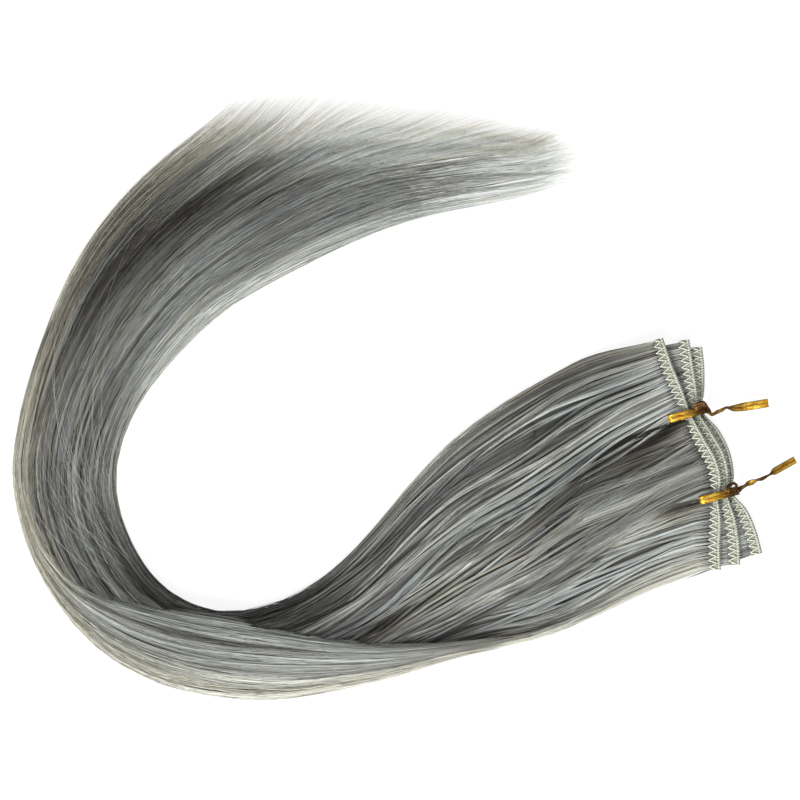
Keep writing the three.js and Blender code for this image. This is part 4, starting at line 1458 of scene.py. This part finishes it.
# The folds of foil at the knot on top of each loop's right end, in the same columns.
KNOTS = {
    "upper": np.array([
        (115.6, -4.7, 7.9, 3.0, 0.9, 0, 0.2),
        (117.4, -3.9, 8.4, 3.2, 1.0, 20, 0.02),
        (118.6, -3.4, 8.6, 3.4, 1.1, 30, 0.0),
        (120.2, -4.4, 8.0, 2.2, 1.1, 60, 0.0),
        (121.2, -5.4, 6.6, 1.4, 0.9, 90, 0.05),
    ]),
    "lower": np.array([
        (128.6, -38.2, 7.9, 2.0, 0.9, 0, 0.3),
        (129.4, -35.8, 8.2, 1.3, 0.9, 40, 0.0),
        (131.2, -34.6, 8.2, 1.0, 0.9, 90, 0.08),
        (132.4, -35.8, 7.6, 1.1, 0.9, 140, 0.0),
        (131.2, -37.6, 7.4, 1.4, 0.9, 190, 0.05),
    ]),
}
TIE_PARTS = 3
RIBBON_POINTS = 9
RIBBON_ACROSS = np.linspace(-1, 1, RIBBON_POINTS)
# A ribbon's wire, edges and hollow, as shares of half its width and of its thickness.
WIRE_RISE, WIRE_HALF, EDGE_DROP, EDGE_POWER, RIBBON_HOLLOW = 0.45, 0.16, 0.25, 6, 0.15
# How much of its painted shine the foil loses to painted shade in the crease along the wire and at its
# edges, and how near them.
RIBBON_CREASE, CREASE_HALF, RIBBON_EDGE, SHINE_POWER = 0.75, 0.12, 0.8, 8
FOIL_ALONG, FOIL_ACROSS = 0.25, 1.6
# The loop's painted shine falls off into painted shade towards the knot at its right end: over what length,
# and what length stays dark.
KNOT_LENGTH, KNOT_DARK, KNOT_SHINE = 8.5, 3.0, 0.03


def ribbon_rings(centre, side, up, width, thick):
    """Sections of a foil ribbon with a wire along its middle and thin turned edges."""
    off = np.abs(RIBBON_ACROSS)
    ridge = 0.5 + WIRE_RISE * bell(RIBBON_ACROSS / WIRE_HALF) - EDGE_DROP * off**EDGE_POWER
    hollow = 0.5 - RIBBON_HOLLOW * off
    middle = centre[:, None] + side[:, None] * (RIBBON_ACROSS * width[:, None] / 2)[..., None]
    top = middle + up[:, None] * (ridge * thick[:, None])[..., None]
    return both(top, middle - up[:, None] * (hollow * thick[:, None])[..., None])


def ribbon_looks(run, painted_shine, order):
    """The foil's streaks, and its painted shine at each point of a ribbon, lowered as painted shade in the
    crease and at the edges.
    """
    across = np.concatenate([RIBBON_ACROSS, RIBBON_ACROSS[::-1]])
    streaks = run[:, None] * FOIL_ALONG, across * FOIL_ACROSS, FLOW_APART * order
    kept = 1 - RIBBON_CREASE * bell(across / CREASE_HALF) - RIBBON_EDGE * np.abs(across) ** SHINE_POWER
    return np.stack(np.broadcast_arrays(*streaks), -1), np.clip(painted_shine[:, None] * kept, 0, 1)


def tie_loop(left, order):
    """The loop's ribbon round the gathered tracks, as a rounded box standing on edge."""
    length, height, r = LOOP_LENGTH - TIE_THICK, LOOP_HEIGHT - TIE_THICK, TIE_CORNER - TIE_THICK / 2
    right, top = length - r, height - r
    outline = []
    for x, z, first in ((right, r, -90), (right, top, 0), (r, top, 90), (r, r, 180)):
        for angle in np.radians(first + 90 * span(CORNER_POINTS)):
            outline.append((x + r * math.cos(angle), z + r * math.sin(angle)))
    outline = np.array([*outline, outline[0]])
    run = travelled(outline)
    at = np.linspace(0, run[-1], LOOP_RINGS + 1)[:-1]
    x, z = (np.interp(at, run, outline[:, axis]) for axis in range(2))
    heading = math.radians(TIE_HEADING)
    forward = np.array([math.cos(heading), math.sin(heading), 0])
    start = np.array([*left, LOOP_FLOOR]) + forward * TIE_THICK / 2
    centre = start + x[:, None] * forward + z[:, None] * np.array([0, 0, 1.0])
    along = unit(np.roll(centre, -1, 0) - np.roll(centre, 1, 0))
    side = np.broadcast_to([-math.sin(heading), math.cos(heading), 0], centre.shape)
    width = TIE_WIDTH * (1 - LOOP_PINCH * np.sin(at * PINCH_PER_MM) ** 2)
    painted_shine = lerp(KNOT_SHINE, 1, smooth((length - KNOT_DARK - x) / KNOT_LENGTH))
    rings = ribbon_rings(centre, -side, np.cross(along, side), width, np.full(LOOP_RINGS, LOOP_FOIL))
    return rings, *ribbon_looks(at, painted_shine, order)


def tie_ribbon(table, count, order):
    """A twisted ribbon along a table of its path, width, thickness, turn and shine."""
    rows = np.linspace(0, len(table) - 1, count)
    path, shape = through(table[:, :3], rows), through(table[:, 3:], rows)
    along, flat, upright = frames_along(path)
    turn = np.radians(shape[:, 2])[:, None]
    side = flat * np.cos(turn) + upright * np.sin(turn)
    rings = ribbon_rings(path, side, np.cross(along, side), shape[:, 0], shape[:, 1])
    return rings, *ribbon_looks(travelled(path, 3), shape[:, 3], order)


def tie(name, finish):
    left, stem = TIES[name]
    order = TIE_PARTS * list(TIES).index(name)
    loop = tie_loop(left, order)
    ribbons = tie_ribbon(stem, STEM_RINGS, order + 1), tie_ribbon(KNOTS[name], KNOT_RINGS, order + 2)
    rings, flows, shines = zip(loop, *ribbons)
    looks = {"flow": stacked(flows, 3), "painted_shine": stacked(shines)}
    mesh = loft_mesh("tie_" + name, rings, looks, closed=(0,), turned=(1, 2))
    piece("tie_" + name, mesh, finish, ["twist_tie_" + name])


# Floor, light and camera

FLOOR_HALF, FLOOR_SHADE, FLOOR_GLOW = 3000, 0.25, 0.82
CAMERA_HEIGHT, SENSOR = 5.0, 36
PICTURE_WIDTH, PICTURE_MIDDLE = 0.32, (-0.002, 0.0)
WORLD_STRENGTH = 0.4
# Lights: place, size, power.
LIGHTS = {
    "key": ((-0.25, -0.85, 0.75), (0.9, 0.5), 20),
    "fill": ((0.7, 0.5, 0.9), (0.8, 0.8), 4),
}


def floor():
    finish = Finish("floor", roughness=0.9, specular=0.2)
    finish.paint((FLOOR_SHADE, FLOOR_SHADE, FLOOR_SHADE, 1))
    finish.feed(finish.shader, {"Emission Color": WHITE, "Emission Strength": FLOOR_GLOW})
    corners = FLOOR_HALF * np.array([(-1, -1, 0), (1, -1, 0), (1, 1, 0), (-1, 1, 0)], float)
    mesh = grid_mesh("floor", corners, [np.array([[0, 1, 2, 3]])])
    mesh.materials.append(finish.material)
    obj = placed("floor", mesh)


def lights():
    world = bpy.data.worlds.new("studio")
    bpy.context.scene.world = world
    world.use_nodes = True
    background = world.node_tree.nodes["Background"]
    background.inputs["Color"].default_value = WHITE
    background.inputs["Strength"].default_value = WORLD_STRENGTH
    for name, (place, size, power) in LIGHTS.items():
        light = bpy.data.lights.new(name, "AREA")
        light.shape = "RECTANGLE"
        light.size, light.size_y = size
        light.energy = power
        obj = placed(name, light)
        obj.location = place
        obj.rotation_euler = (-Vector(place)).to_track_quat("-Z", "Y").to_euler()


def camera():
    data = bpy.data.cameras.new("camera")
    data.sensor_width = SENSOR
    data.lens = SENSOR * CAMERA_HEIGHT / PICTURE_WIDTH
    obj = placed("camera", data)
    obj.location = (*PICTURE_MIDDLE, CAMERA_HEIGHT)
    bpy.context.scene.camera = obj


def build():
    hair, core = hair_finish(), core_finish()
    cloth, thread, gold = band_finish(), thread_finish(), gold_finish()
    hair_core(core)
    for name in FANS:
        fan_strands(name, hair)
    root_strands(hair)
    fold_strands(hair)
    for side in ("outer", "inner"):
        tail_strands(side, hair)
    tip_strands(hair)
    fringe_strands(hair)
    stray_strands(hair)
    for layer in range(len(LAYERS)):
        band(layer, cloth)
        stitching(layer, thread)
    for name in TIES:
        tie(name, gold)
    floor()
    lights()
    camera()
    bpy.context.scene.view_settings.view_transform = "Standard"


build()
